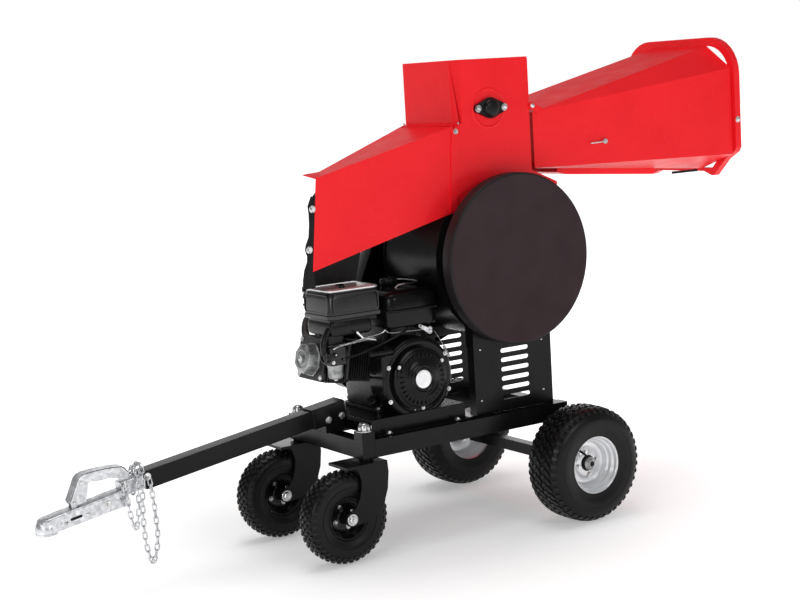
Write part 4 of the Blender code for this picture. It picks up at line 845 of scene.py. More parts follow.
cap_piece = new_piece("folded_tower_cap", bm, RED, "chassis", 32, bevel=0.0016)
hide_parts("tower_cap")
# the drum band is black all over
dress("housing_band", BLACK, 0.0010, 2, 40)
dress("chute_body", RED, 0.0012, 2, 20)
dress("infeed_funnel", RED, 0.0012, 2, 20)
dress("funnel_rim", RED, 0.0045, 3, 25)
dress("chute_flap", RUBBER, 0.0008, 2)
for node in ("rotor", "rotor_pulley", "engine_pulley", "crankshaft", "feed_roller"):
    dress(node, STEEL, 0.0008, 2)
for node in ("rotor_knife_a", "rotor_knife_b", "bed_knife"):
    dress(node, KNIFE, 0.0004, 1)
dress("drive_belt", RUBBER, 0.0012, 2, 45)

HOUSE = (-0.150, 0.930)
FEED = (-0.1765, 1.449)
CRANK = (-0.548, 0.562)


def two_pulley_outline(r1, r2, n=32):
    """The line of a belt round the rotor pulley (r1) and the engine pulley (r2)."""
    dx, dz = HOUSE[0] - CRANK[0], HOUSE[1] - CRANK[1]
    toward = math.degrees(math.atan2(dz, dx))
    lean = math.degrees(math.acos((r1 - r2) / math.hypot(dx, dz)))
    big = arc(HOUSE[0], HOUSE[1], r1, toward - 180 + lean, toward + 180 - lean, n)
    return big + arc(CRANK[0], CRANK[1], r2, toward + 180 - lean, toward + 180 + lean, n // 3)


# ---------------------------------------------------------------- round cover and its posts
bm = bmesh.new()
centre = (HOUSE[0], 0, HOUSE[1])
add_turned(
    bm, [(0, 0.2698), (0.1200, 0.2698), (0.2200, 0.2699), (0.2830, 0.2700), (0.2885, 0.2697), (0.2885, 0.2670), (0.1200, 0.2668), (0, 0.2668)],
    centre, (0, -1, 0), 160, 0, closed=False,
)
add_turned(
    bm, [(0.2885, 0.2697), (0.2920, 0.2690), (0.2947, 0.2672), (0.2961, 0.2646), (0.2965, 0.2610), (0.2965, 0.2225), (0.2960, 0.2210), (0.2947, 0.2205), (0.2936, 0.2210), (0.2933, 0.2225), (0.2933, 0.2625), (0.2915, 0.2655), (0.2885, 0.2668)],
    centre, (0, -1, 0), 160, 1,
)
for a in (90, 210, 330):
    x, z = HOUSE[0] + 0.255 * math.cos(math.radians(a)), HOUSE[1] + 0.255 * math.sin(math.radians(a))
    add_cylinder(bm, (x, -0.2670, z), (x, -0.1655, z), 0.0080, 24, index=1)
    add_cylinder(bm, (x, -0.1690, z), (x, -0.1653, z), 0.0125, 24, index=1)
cover = new_piece("cover_disc", bm, [PLUM, COVER_EDGE], "chassis", 30)
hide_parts("round_cover")

# ---------------------------------------------------------------- belt guard
bm = bmesh.new()


def guard_ring(inset, y, n=96):
    return [V((x, y, z)) for x, z in two_pulley_outline(0.298 - inset, 0.090 - inset, n)]


add_rings(
    bm,
    [
        guard_ring(0.0030, 0.2670), guard_ring(0.0030, 0.2040), guard_ring(0.0008, 0.2037), guard_ring(0.0, 0.2046), guard_ring(0.0, 0.2640),
        guard_ring(0.0010, 0.2672), guard_ring(0.0032, 0.2693), guard_ring(0.0060, 0.2700), guard_ring(0.0250, 0.2700), guard_ring(0.0268, 0.2716),
        guard_ring(0.0330, 0.2716), guard_ring(0.0348, 0.2700),
    ],
)
for a in (62, 122, -18):
    x, z = HOUSE[0] + 0.250 * math.cos(math.radians(a)), HOUSE[1] + 0.250 * math.sin(math.radians(a))
    add_cylinder(bm, (x, 0.2680, z), (x, 0.1655, z), 0.0080, 24)
guard = new_piece("guard_pan", bm, BLACK, "chassis", 28)
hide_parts("belt_guard")
bm = bmesh.new()
for a in (62, 122, -18):
    x, z = HOUSE[0] + 0.250 * math.cos(math.radians(a)), HOUSE[1] + 0.250 * math.sin(math.radians(a))
    add_bolt(bm, (x, 0.2700, z), (0, 1, 0), 0.0065)
for x, z in ((-0.516, 0.607), (-0.578, 0.527)):
    add_bolt(bm, (x, 0.2700, z), (0, 1, 0), 0.0050)
new_piece("guard_bolts", bm, BOLT, "chassis", 30)
# the guard's vent slots are thin near-black patches on its closed face: painted shade in place of openings
bm = bmesh.new()
for ring, count in ((0.110, 20), (0.085, 16), (0.060, 12)):
    for i in range(count):
        a = 2 * math.pi * i / count
        at = Matrix.Translation((HOUSE[0], 0.2702, HOUSE[1])) @ Matrix.Rotation(a, 4, "Y")
        add_plate(bm, rounded(ring - 0.0075, -0.0030, ring + 0.0075, 0.0030, 0.0029, 4), "XZ", -0.0006, 0.0004, turn=at)
new_piece("guard_vent_shade", bm, PAINTED_HOLE_SHADE, "chassis", 30)

# ---------------------------------------------------------------- feed bearings, emboss and tower fittings
for where, side in SIDES:
    bm = bmesh.new()
    wings = arc(FEED[0] + 0.056, FEED[1], 0.013, -60, 60, 12) + arc(FEED[0], FEED[1], 0.036, 65, 115, 12) + arc(FEED[0] - 0.056, FEED[1], 0.013, 120, 240, 12) + arc(FEED[0], FEED[1], 0.036, 245, 295, 12)
    y0, y1 = side * 0.1653, side * 0.1762
    inner = [(FEED[0] + (x - FEED[0]) * 0.965, FEED[1] + (z - FEED[1]) * 0.955) for x, z in wings]
    add_rings(bm, [[V((x, y0, z)) for x, z in wings], [V((x, y1, z)) for x, z in wings], [V((x, y1 + side * 0.0018, z)) for x, z in inner]])
    add_turned(
        bm, [(0.0325, 0.1752), (0.0318, 0.1800), (0.0300, 0.1842), (0.0272, 0.1872), (0.0262, 0.1884), (0.0235, 0.1900), (0.0185, 0.1912), (0.0100, 0.1918), (0, 0.1920)],
        (FEED[0], 0, FEED[1]), (0, side, 0), 56, closed=False,
    )
    obj = new_piece(f"flange_bearing_{where}", bm, PLASTIC, "chassis", 32)
    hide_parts(f"feed_bearing_{where}")
    bm = bmesh.new()
    for s in (1, -1):
        add_bolt(bm, (FEED[0] + s * 0.056, side * 0.1776, FEED[1]), (0, side, 0), 0.0082, dome=True)
    new_piece(f"bearing_bolts_{where}", bm, BOLT, "chassis", 30)
    # the pressed ring round the bearing
    bm = bmesh.new()
    ring = [(0.0600, 0.1649), (0.0612, 0.1652), (0.0628, 0.1668), (0.0645, 0.1676), (0.0665, 0.1676), (0.0682, 0.1668), (0.0698, 0.1652), (0.0710, 0.1649)]
    add_turned(bm, ring, (FEED[0] - 0.004, 0, FEED[1]), (0, side, 0), 96)
    new_piece(f"pressed_ring_{where}", bm, RED, "chassis", 50)

bm = bmesh.new()
for s in (-1, 1):
    add_bolt(bm, (-0.3262, s * 0.1686, 1.3775), (0, s, 0), 0.0062)
    add_bolt(bm, (-0.3125, s * 0.1652, 1.4045), (0, s, 0), 0.0034, washer=False)
for x, z in ((-0.2977, 0.6240), (-0.0294, 0.6254), (-0.0288, 0.4450), (-0.3007, 0.4450), (-0.3185, 0.7054)):
    add_bolt(bm, (x, -0.2031, z), (0, -1, 0), 0.0042, washer=False, dome=True)
    add_bolt(bm, (x, 0.2031, z), (0, 1, 0), 0.0042, washer=False, dome=True)
for x, y in ((-0.690, -0.206), (-0.410, -0.206), (-0.690, 0.206), (-0.410, 0.206)):
    add_bolt(bm, (x, y, 0.3994), (0, 0, 1), 0.0080)
new_piece("panel_bolts", bm, BOLT, "chassis", 30)
bm = bmesh.new()
for i in range(13):
    a = math.radians(150 + i * 6.2)
    add_bolt(bm, (HOUSE[0] + 0.2600 * math.cos(a), 0.1651, HOUSE[1] + 0.2600 * math.sin(a)), (0, 1, 0), 0.0045, washer=False)
new_piece("housing_rivets", bm, BOLT, "chassis", 30)
# two holes in the tower's back face, drawn as thin near-black discs: painted shade
bm = bmesh.new()
for y, z in ((0.1540, 1.3870), (-0.1060, 1.3850)):
    add_cylinder(bm, (-0.3048, y, z), (-0.3056, y, z), 0.0046, 20)
new_piece("tower_hole_shade", bm, PAINTED_HOLE_SHADE, "chassis", 30)

# weld beads where the plates meet
def bead(bm, points, r=0.0016):
    rng = random.Random(len(bm.verts) + 7)
    line = [V(p) for p in points]
    out = []
    for a, b in zip(line, line[1:]):
        n = max(2, int((b - a).length / 0.0035))
        out += [a.lerp(b, k / n) for k in range(n)]
    out.append(line[-1])
    widths = [r * (0.82 + 0.30 * rng.random()) for _ in out]
    n = len(out)
    add_tube(bm, out, lambda t: widths[min(n - 1, int(round(t * (n - 1))))], 8)


bm = bmesh.new()
for side in (-1, 1):
    y = side * 0.1652
    bead(bm, [(-0.3045, y, 1.402), (-0.3280, y, 1.3945)])
    bead(bm, [(-0.0045, side * 0.1655, 1.612), (-0.0045, side * 0.1655, 1.466)], 0.0013)
    bead(bm, [(-0.3250, side * 0.1655, 0.634), (0.0130, side * 0.1655, 0.634)])
bead(bm, [(-0.3052, -0.158, 1.4030), (-0.3052, 0.158, 1.4030)])
new_piece("tower_welds", bm, RED, "chassis", 60)
bm = bmesh.new()
for side in (-1, 1):
    y = side * 0.1928
    bead(bm, [(-0.7702, y, 0.340), (-0.7702, y, 0.390)], 0.0028)
    bead(bm, [(-0.0250, side * 0.1950, 0.3340), (0.0300, side * 0.1950, 0.3340)], 0.0026)
    bead(bm, [(-0.0250, side * 0.2400, 0.3340), (0.0300, side * 0.2400, 0.3340)], 0.0026)
    bead(bm, [(-0.0205, side * 0.1950, 0.2230), (0.0205, side * 0.1950, 0.2230)], 0.0026)
bead(bm, [(-0.8320, -0.0345, 0.3965), (-0.7580, -0.0345, 0.3965)], 0.0024)
new_piece("frame_welds", bm, BLACK, "chassis", 60)
bm = bmesh.new()
add_box(bm, (-0.7446, -0.1760, 0.3972), (-0.7416, 0.1760, 0.4300))
new_piece("plate_end", bm, BLACK, "chassis", 40)

# ---------------------------------------------------------------- chute mouth and funnel fittings
bm = bmesh.new()
for x, z in ((-0.8965, 1.1650), (-0.9175, 1.0345)):
    add_bolt(bm, (x, -0.1497, z), (0, -1, 0), 0.0078)
new_piece("flap_bolts", bm, BOLT, "chassis", 30)
# the flap's borders: one along the mouth's near edge, one below the chute on the far side
bm = bmesh.new()
border = [
    (-0.8800, 1.2080), (-0.8980, 1.2060), (-0.9120, 1.1760), (-0.9100, 1.1500), (-0.9108, 1.1152), (-0.9160, 1.0750), (-0.9290, 1.0500),
    (-0.9320, 1.0340), (-0.9260, 1.0150), (-0.9275, 0.9965), (-0.9400, 0.9700), (-0.9470, 0.9400), (-0.9500, 0.9080), (-0.9010, 0.9080), (-0.9050, 0.9640),
]
add_plate(bm, border, "XZ", -0.1494, -0.1456)
add_plate(bm, [(-0.8530, 0.9600), (-0.8530, 0.8968), (-0.6715, 0.8968), (-0.6390, 1.0160)], "XZ", -0.0245, -0.0207)
new_piece("flap_borders", bm, RUBBER, "chassis", 30, bevel=0.0010)

bm = bmesh.new()
add_cylinder(bm, (0.0065, -0.1760, 1.446), (0.0065, 0.1760, 1.446), 0.0050, 24)
for side in (-1, 1):
    add_bolt(bm, (0.0065, side * 0.1703, 1.446), (0, side, 0), 0.0092, washer=False, dome=True)
pin = new_piece("hinge_bolts", bm, BOLT, "chassis", 30)
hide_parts("funnel_hinge_pin")

bm = bmesh.new()
hook = [V((0.2880, -0.2130, 1.3010)), V((0.2700, -0.2130, 1.3000)), V((0.2500, -0.2130, 1.2995)), V((0.2300, -0.2130, 1.2995))]
loop = [V((0.297 + 0.0070 * math.cos(t), -0.2130, 1.302 + 0.0070 * math.sin(t))) for t in (math.radians(-170 + 17 * i) for i in range(21))]
add_tube(bm, loop + hook, 0.0026, 12)
latch = new_piece("wire_hook", bm, ZINC, "latch_hook", 45)
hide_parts("funnel_latch_hook")
bm = bmesh.new()
add_bolt(bm, (0.297, -0.2165, 1.302), (0, -1, 0), 0.0054, washer=True)
add_bolt(bm, (0.8745, -0.2990, 1.343), (0, -1, 0), 0.0075, dome=True)
new_piece("funnel_bolts", bm, BOLT, "funnel", 30)
bm = bmesh.new()
add_box(bm, (0.6730, -0.1520, 1.1530), (0.8010, -0.1480, 1.1620))
new_piece("tray_strip", bm, BLACK, "funnel", 30)


# ---------------------------------------------------------------- engine
TILT = Matrix.Translation((-0.518, 0, 0.590)) @ Matrix.Rotation(math.radians(10), 4, "Y")


def rounded_block(bm, lo, hi, levels, corner, index=0, turn=None, n=6, axis="z"):
    """A block with rounded corners: levels lists (height fraction, inset) from bottom to top."""
    rings = []
    x0, y0, z0 = lo
    x1, y1, z1 = hi
    for t, inset in levels:
        r = max(0.0005, corner - inset * 0.6)
        if axis == "z":
            ring = [V((x, y, z0 + (z1 - z0) * t)) for x, y in rounded(x0 + inset, y0 + inset, x1 - inset, y1 - inset, r, n)]
        elif axis == "y":
            ring = [V((x, y0 + (y1 - y0) * t, z)) for x, z in rounded(x0 + inset, z0 + inset, x1 - inset, z1 - inset, r, n)]
        else:
            ring = [V((x0 + (x1 - x0) * t, y, z)) for y, z in rounded(y0 + inset, z0 + inset, y1 - inset, z1 - inset, r, n)]
        rings.append([turn @ p for p in ring] if turn is not None else ring)
    add_rings(bm, rings, index)


SOFT = [(0, 0.004), (0.02, 0.0012), (0.05, 0), (0.95, 0), (0.98, 0.0012), (1, 0.004)]

bm = bmesh.new()
rounded_block(bm, (-0.660, -0.098, 0.4573), (-0.400, 0.118, 0.660), [(0, 0.003), (0.03, 0), (0.86, 0), (0.93, 0.004), (0.98, 0.012), (1, 0.022)], 0.026)
rounded_block(bm, (-0.664, -0.100, 0.4473), (-0.396, 0.120, 0.4580), [(0, 0.001), (0.15, 0), (0.85, 0), (1, 0.002)], 0.012)
# side cover on the drive side, with its boss
rounded_block(bm, (-0.650, 0.112, 0.4600), (-0.410, 0.1235, 0.652), [(0, 0), (0.6, 0), (0.85, 0.002), (1, 0.006)], 0.034, axis="y")
add_turned(bm, [(0.0560, 0.122), (0.0540, 0.136), (0.0500, 0.142), (0.0340, 0.146), (0.0300, 0.158), (0.0240, 0.160), (0.0145, 0.160), (0.0145, 0.130)], (CRANK[0], 0, CRANK[1]), (0, 1, 0), 48)
# cylinder barrel and head with their fins
rounded_block(bm, (-0.226, -0.052, -0.048), (0.060, 0.068, 0.054), [(0, 0), (1, 0)], 0.030, turn=TILT, axis="x")
for k in range(12):
    x = -0.2205 + k * 0.0092
    rounded_block(bm, (x, -0.070, -0.065), (x + 0.0024, 0.085, 0.070), [(0, 0.0008), (0.3, 0), (0.7, 0), (1, 0.0008)], 0.022, turn=TILT, axis="x")
rounded_block(bm, (-0.2420, -0.074, -0.068), (-0.2280, 0.089, 0.074), [(0, 0.0015), (0.2, 0), (0.8, 0), (1, 0.0015)], 0.014, turn=TILT, axis="x")
rounded_block(bm, (-0.3250, -0.056, -0.052), (-0.2420, 0.071, 0.058), [(0, 0), (1, 0)], 0.012, turn=TILT, axis="x")
for k in range(8):
    x = -0.3160 + k * 0.0094
    rounded_block(bm, (x, -0.078, -0.072), (x + 0.0026, 0.093, 0.078), [(0, 0.0008), (0.3, 0), (0.7, 0), (1, 0.0008)], 0.012, turn=TILT, axis="x")
rounded_block(bm, (-0.3350, -0.076, -0.070), (-0.3220, 0.091, 0.076), [(0, 0.002), (0.2, 0), (0.8, 0), (1, 0.0012)], 0.014, turn=TILT, axis="x")
for x0 in (-0.600, -0.480):
    rounded_block(bm, (x0, -0.060, 0.636), (x0 + 0.020, 0.080, 0.7347), [(0, 0), (0.97, 0), (1, 0.001)], 0.003)
# governor post and the arm that carries the throttle
rounded_block(bm, (-0.492, -0.098, 0.636), (-0.468, -0.080, 0.722), SOFT, 0.004)
rounded_block(bm, (-0.494, -0.168, 0.7030), (-0.466, -0.082, 0.7210), SOFT, 0.004)
block = new_piece("crankcase_and_fins", bm, ENGINE_CAST, "chassis", 32, bevel=0.0006, segments=1)
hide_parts("engine_block")
bm = bmesh.new()
for x, z in ((-0.640, 0.470), (-0.530, 0.467), (-0.420, 0.470), (-0.640, 0.642), (-0.530, 0.645), (-0.420, 0.642), (-0.643, 0.556), (-0.417, 0.556)):
    add_bolt(bm, (x, 0.1232, z), (0, 1, 0), 0.0055)
for x, y in ((-0.652, -0.088), (-0.652, 0.108), (-0.408, -0.088), (-0.408, 0.108)):
    add_bolt(bm, (x, y, 0.4580), (0, 0, 1), 0.0066)
for x in (-0.590, -0.470):
    for y in (-0.050, 0.070):
        add_bolt(bm, (x, y, 0.7350), (0, 0, 1), 0.0045)
for y, z in ((-0.062, -0.056), (0.077, -0.056), (-0.062, 0.062), (0.077, 0.062)):
    add_bolt(bm, TILT @ V((-0.3352, y, z)), TILT.to_3x3() @ V((-1, 0, 0)), 0.0058)
new_piece("engine_bolts", bm, BOLT, "chassis", 30)

bm = bmesh.new()
plug = TILT @ V((-0.2900, 0.050, 0.0780))
out = (TILT.to_3x3() @ V((-0.25, 0.12, 1))).normalized()
add_cylinder(bm, plug - out * 0.004, plug + out * 0.008, 0.0105, 6)
add_cylinder(bm, plug + out * 0.008, plug + out * 0.030, 0.0062, 16)
new_piece("spark_plug", bm, STEEL, "chassis", 30)
bm = bmesh.new()
boot = [plug + out * 0.014, plug + out * 0.034, plug + out * 0.044 + V((0.006, -0.002, 0.002)), plug + out * 0.046 + V((0.022, -0.006, 0.003)), plug + out * 0.040 + V((0.050, -0.030, -0.004)), V((-0.730, 0.000, 0.722)), V((-0.700, -0.040, 0.712)), V((-0.660, -0.075, 0.700)), V((-0.620, -0.100, 0.680))]
add_tube(bm, boot[:4], lambda t: 0.0098 - 0.0035 * t, 16)
add_tube(bm, boot[3:], 0.0036, 12)
new_piece("plug_lead", bm, RUBBER, "chassis", 50)

# valve cover: an eight-sided pan with a ring and a centre bolt
bm = bmesh.new()
c0, c1 = V((-0.8440, 0.004, 0.6475)), V((-0.8870, 0.004, 0.6551))
u, v, w = frame_of(c1 - c0)


def eight(at, r, squash=1.0):
    return [at + u * r * math.cos(math.radians(22.5 + 45 * i)) + v * r * math.sin(math.radians(22.5 + 45 * i)) for i in range(8)]


depth = (c1 - c0).length
add_rings(bm, [eight(c0, 0.0590), eight(c0 + w * 0.004, 0.0600), eight(c0 + w * 0.0075, 0.0600), eight(c0 + w * 0.0085, 0.0560), eight(c0 + w * (depth - 0.008), 0.0530), eight(c0 + w * (depth - 0.002), 0.0500), eight(c0 + w * depth, 0.0455)])
add_turned(bm, [(0.0330, -0.001), (0.0340, 0.0018), (0.0310, 0.0034), (0.0280, 0.0020), (0.0265, -0.001)], c1, w, 48)
add_turned(bm, [(0.0160, -0.001), (0.0155, 0.0030), (0.0130, 0.0042), (0.0080, 0.0044), (0.0080, -0.001)], c1, w, 32)
obj = new_piece("rocker_cover", bm, ALLOY, "chassis", 30, bevel=0.0012)
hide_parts("valve_cover")
bm = bmesh.new()
add_bolt(bm, c1 + w * 0.0040, w, 0.0070, dome=True)
for i in range(4):
    a = math.radians(45 + 90 * i)
    add_bolt(bm, c0 + w * 0.0075 + (u * math.cos(a) + v * math.sin(a)) * 0.0560, w, 0.0040, washer=False)
new_piece("rocker_cover_bolts", bm, BOLT, "chassis", 30)

# ---------------------------------------------------------------- fan cowl, starter and rope
bm = bmesh.new()
near = V((0, -1, 0))
cowl_profile = [
    (0.1400, 0.1003), (0.1400, 0.1740), (0.1392, 0.1800), (0.1365, 0.1850), (0.1320, 0.1885), (0.1260, 0.1900), (0.1190, 0.1902), (0.1150, 0.1885),
    (0.1080, 0.1880), (0.0600, 0.1880), (0.0600, 0.1855), (0.1160, 0.1855), (0.1230, 0.1875), (0.1300, 0.1862), (0.1345, 0.1832), (0.1368, 0.1790), (0.1375, 0.1730), (0.1375, 0.1003),
]
add_turned(bm, cowl_profile, (CRANK[0], 0, CRANK[1]), near, 128)
flat = bmesh.ops.bisect_plane(bm, geom=bm.verts[:] + bm.edges[:] + bm.faces[:], plane_co=(0, 0, 0.4502), plane_no=(0, 0, -1), clear_outer=True)
bmesh.ops.holes_fill(bm, edges=[e for e in bm.edges if e.is_boundary], sides=200)
# a raised shroud runs on towards the cylinder
rounded_block(bm, (-0.6900, -0.1880, 0.5750), (-0.6300, -0.1003, 0.6600), [(0, 0.006), (0.06, 0.001), (0.12, 0), (0.9, 0), (1, 0.004)], 0.012, axis="y")
grip_at, pull = V((-0.700, -0.200, 0.670)), V((-0.35, -0.80, 0.49)).normalized()
eye = V((-0.640, -0.150, 0.620))
add_cylinder(bm, grip_at - pull * 0.029, eye, 0.0090, 24, 0.0120)
add_turned(bm, [(0.0060, 0.000), (0.0105, 0.000), (0.0115, -0.0030), (0.0090, -0.0060), (0.0060, -0.0060)], grip_at - pull * 0.0268, pull, 24)
cowl = new_piece("blower_cowl", bm, ENGINE, "chassis", 32)
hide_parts("fan_cowl")

bm = bmesh.new()
starter = [
    (0, 0.2330), (0.0350, 0.2330), (0.0362, 0.2348), (0.0395, 0.2350), (0.0415, 0.2336), (0.0440, 0.2326), (0.0468, 0.2338), (0.0492, 0.2350), (0.0520, 0.2348),
    (0.0550, 0.2334), (0.0570, 0.2316), (0.0600, 0.2310), (0.0640, 0.2308), (0.0665, 0.2290), (0.0700, 0.2272), (0.0860, 0.2232), (0.0990, 0.2200), (0.1020, 0.2196),
    (0.1045, 0.2180), (0.1060, 0.2150), (0.1080, 0.2130), (0.1130, 0.2112), (0.1165, 0.2098), (0.1180, 0.2075), (0.1180, 0.1903), (0.1150, 0.1903), (0.1150, 0.2050),
    (0.0800, 0.2200), (0, 0.2260),
]
starter = [(r * 0.9068, 0.1903 + (h - 0.1903) * 0.664) for r, h in starter]
add_turned(bm, starter, (CRANK[0], 0, CRANK[1]), near, 128, closed=False)
slant = math.atan2(0.0048, 0.0263)
for i in range(30):
    a = 2 * math.pi * i / 30
    turn = Matrix.Translation((CRANK[0], -0.2125, CRANK[1])) @ Matrix.Rotation(a, 4, "Y") @ Matrix.Translation((0.0775, 0, 0)) @ Matrix.Rotation(-slant, 4, "Z")
    add_box(bm, (-0.0113, -0.0018, -0.0015), (0.0113, 0.0010, 0.0015), turn=turn @ Matrix.Rotation(0.5, 4, "X"))
    # beside each blade a near-black strip fills the air slot: painted shade
    add_box(bm, (-0.0108, -0.0007, 0.0024), (0.0108, 0.0009, 0.0060), turn=turn, index=1)
for i in range(3):
    a = math.radians(30 + 120 * i)
    add_cylinder(bm, (CRANK[0] + 0.1000 * math.cos(a), -0.2000, CRANK[1] + 0.1000 * math.sin(a)), (CRANK[0] + 0.1000 * math.cos(a), -0.2062, CRANK[1] + 0.1000 * math.sin(a)), 0.0070, 20)
obj = new_piece("starter_cover", bm, [ENGINE, PAINTED_HOLE_SHADE], "chassis", 28)
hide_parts("recoil_cover")
bm = bmesh.new()
add_turned(bm, [(0, 0.2199), (0.0200, 0.2199), (0.0275, 0.2197), (0.0306, 0.2193), (0.0312, 0.2187), (0.0312, 0.2176), (0, 0.2176)], (CRANK[0], 0, CRANK[1]), near, 80, closed=False)
new_piece("centre_disc", bm, BADGE, "chassis", 30)
bm = bmesh.new()
for i in range(3):
    a = math.radians(30 + 120 * i)
    add_bolt(bm, (CRANK[0] + 0.1000 * math.cos(a), -0.2060, CRANK[1] + 0.1000 * math.sin(a)), near, 0.0045)
for x, z in ((-0.6660, 0.6130), (-0.4350, 0.6310), (-0.6660, 0.4970), (-0.4270, 0.5070)):
    add_bolt(bm, (x, -0.1893, z), near, 0.0052)
add_bolt(bm, (-0.5695, -0.1893, 0.4620), near, 0.0046)
new_piece("cowl_bolts", bm, BOLT, "chassis", 30)

# grip: a T handle, its rope vanishing into the guide
bm = bmesh.new()
profile = [(0, -0.0450), (0.0050, -0.0446), (0.0076, -0.0425), (0.0085, -0.0390), (0.0085, -0.0300), (0.0078, -0.0200), (0.0074, -0.0090), (0.0085, 0.0), (0.0074, 0.0090), (0.0078, 0.0200), (0.0085, 0.0300), (0.0085, 0.0390), (0.0076, 0.0425), (0.0050, 0.0446), (0, 0.0450)]
add_turned(bm, profile, grip_at, (1, 0, 0), 32, closed=False)
add_tube(bm, [grip_at - pull * 0.0215, grip_at - pull * 0.016, grip_at - pull * 0.008, grip_at], lambda t: 0.0060 + 0.0018 * t, 20)
obj = new_piece("rope_grip", bm, PLASTIC, "starter_grip", 40)
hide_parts("recoil_grip")
bm = bmesh.new()
steps = 60
start_at, end_at = eye + pull * 0.004, grip_at - pull * 0.018
add_tube(bm, [start_at.lerp(end_at, k / steps) for k in range(steps + 1)], 0.0022, 12)
bmesh.ops.transform(bm, matrix=SHIFT, verts=bm.verts)
mesh = bpy.data.meshes.new("starter_rope")
bm.to_mesh(mesh)
bm.free()
mesh.materials.append(RUBBER)
mesh.shade_smooth()
rope = bpy.data.objects.new("starter_rope", mesh)
bpy.context.scene.collection.objects.link(rope)
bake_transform(rope)

# ---------------------------------------------------------------- tank and cap
bm = bmesh.new()
lo, hi = V((-0.640, -0.165, 0.735)), V((-0.425, 0.125, 0.860))
levels = [(0.000, 0.016, 0.030), (0.015, 0.009, 0.034), (0.050, 0.0035, 0.036), (0.100, 0.0030, 0.036), (0.440, 0.0026, 0.036), (0.455, -0.0030, 0.040), (0.470, -0.0040, 0.040), (0.490, -0.0040, 0.040), (0.505, -0.0030, 0.040), (0.520, 0.0024, 0.036), (0.780, 0.0034, 0.036), (0.860, 0.0060, 0.034), (0.920, 0.0110, 0.032), (0.965, 0.0200, 0.030), (0.990, 0.0340, 0.026), (1.000, 0.0520, 0.020)]
rings = []
for t, inset, r in levels:
    rings.append([V((x, y, lo.z + (hi.z - lo.z) * t)) for x, y in rounded(lo.x + inset, lo.y + inset, hi.x - inset, hi.y - inset, max(r, 0.004), 8)])
add_rings(bm, rings)
tank = new_piece("tank_shell", bm, ENGINE, "chassis", 45)
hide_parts("fuel_tank")
bm = bmesh.new()
loop = [V((-0.4580, 0.1180, 0.8550)), V((-0.4500, 0.1050, 0.8640)), V((-0.4460, 0.0600, 0.8690)), V((-0.4430, 0.0000, 0.8700)), V((-0.4470, -0.0440, 0.8700)), V((-0.4640, -0.0640, 0.8700)), V((-0.5000, -0.0720, 0.8700)), V((-0.5440, -0.0700, 0.8680)), V((-0.5560, -0.0690, 0.8600))]
add_tube(bm, smooth_line([p + V((0.0120, 0, 0)) for p in loop], 0.006), 0.0026, 10)
new_piece("tank_wire", bm, BOLT, "chassis", 50)
bm = bmesh.new()
for i in range(28):
    a0 = 2 * math.pi * i / 28
    turn = Matrix.Translation((-0.505, 0.030, 0)) @ Matrix.Rotation(a0, 4, "Z")
    rounded_block(bm, (0.0270, -0.0017, 0.8620), (0.0312, 0.0017, 0.8800), [(0, 0.0003), (0.1, 0), (0.85, 0), (1, 0.0009)], 0.0010, turn=turn, n=2)
add_turned(bm, [(0, 0.8612), (0.0285, 0.8612), (0.0292, 0.8625), (0.0292, 0.8790), (0.0280, 0.8820), (0.0255, 0.8836), (0.0210, 0.8840), (0.0190, 0.8828), (0.0120, 0.8826), (0, 0.8826)], (-0.505, 0.030, 0), (0, 0, 1), 56, closed=False)
obj = new_piece("screw_cap", bm, PLASTIC, "cap", 35)
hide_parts("fuel_cap")
bm = bmesh.new()
add_turned(bm, [(0.0240, 0.8570), (0.0270, 0.8575), (0.0280, 0.8596), (0.0265, 0.8606), (0.0215, 0.8606), (0.0215, 0.8570)], (-0.505, 0.030, 0), (0, 0, 1), 48)
new_piece("tank_neck", bm, ENGINE, "chassis", 40)

# ---------------------------------------------------------------- air cleaner
bm = bmesh.new()
lo, hi = V((-0.860, -0.155, 0.775)), V((-0.648, 0.030, 0.895))
rounded_block(bm, (-0.850, -0.146, 0.7350), (-0.690, 0.020, 0.7860), [(0, 0.010), (0.10, 0.003), (0.25, 0), (0.8, 0), (1, 0.004)], 0.014, index=1)
rounded_block(bm, (-0.859, -0.138, 0.7127), (-0.801, -0.097, 0.7400), [(0, 0), (1, 0)], 0.010, index=1)


def shell(t, inset, r, index=None):
    return [V((x, y, lo.z + (hi.z - lo.z) * t)) for x, y in rounded(lo.x + inset, lo.y + inset, hi.x - inset, hi.y - inset, r, 8)]


add_rings(bm, [shell(0.00, 0.020, 0.012), shell(0.03, 0.014, 0.016), shell(0.10, 0.012, 0.018), shell(0.16, 0.012, 0.018)], 1)
add_rings(bm, [shell(0.14, 0.004, 0.022), shell(0.17, 0.000, 0.024), shell(0.26, 0.000, 0.024), shell(0.28, 0.0035, 0.022), shell(0.70, 0.0050, 0.024), shell(0.88, 0.0085, 0.026), shell(0.915, 0.0110, 0.026)])
add_rings(bm, [shell(0.905, 0.0085, 0.026), shell(0.925, 0.0070, 0.026), shell(0.955, 0.0070, 0.026), shell(0.975, 0.0110, 0.024), shell(0.990, 0.0220, 0.020), shell(0.998, 0.0450, 0.016)], 2)
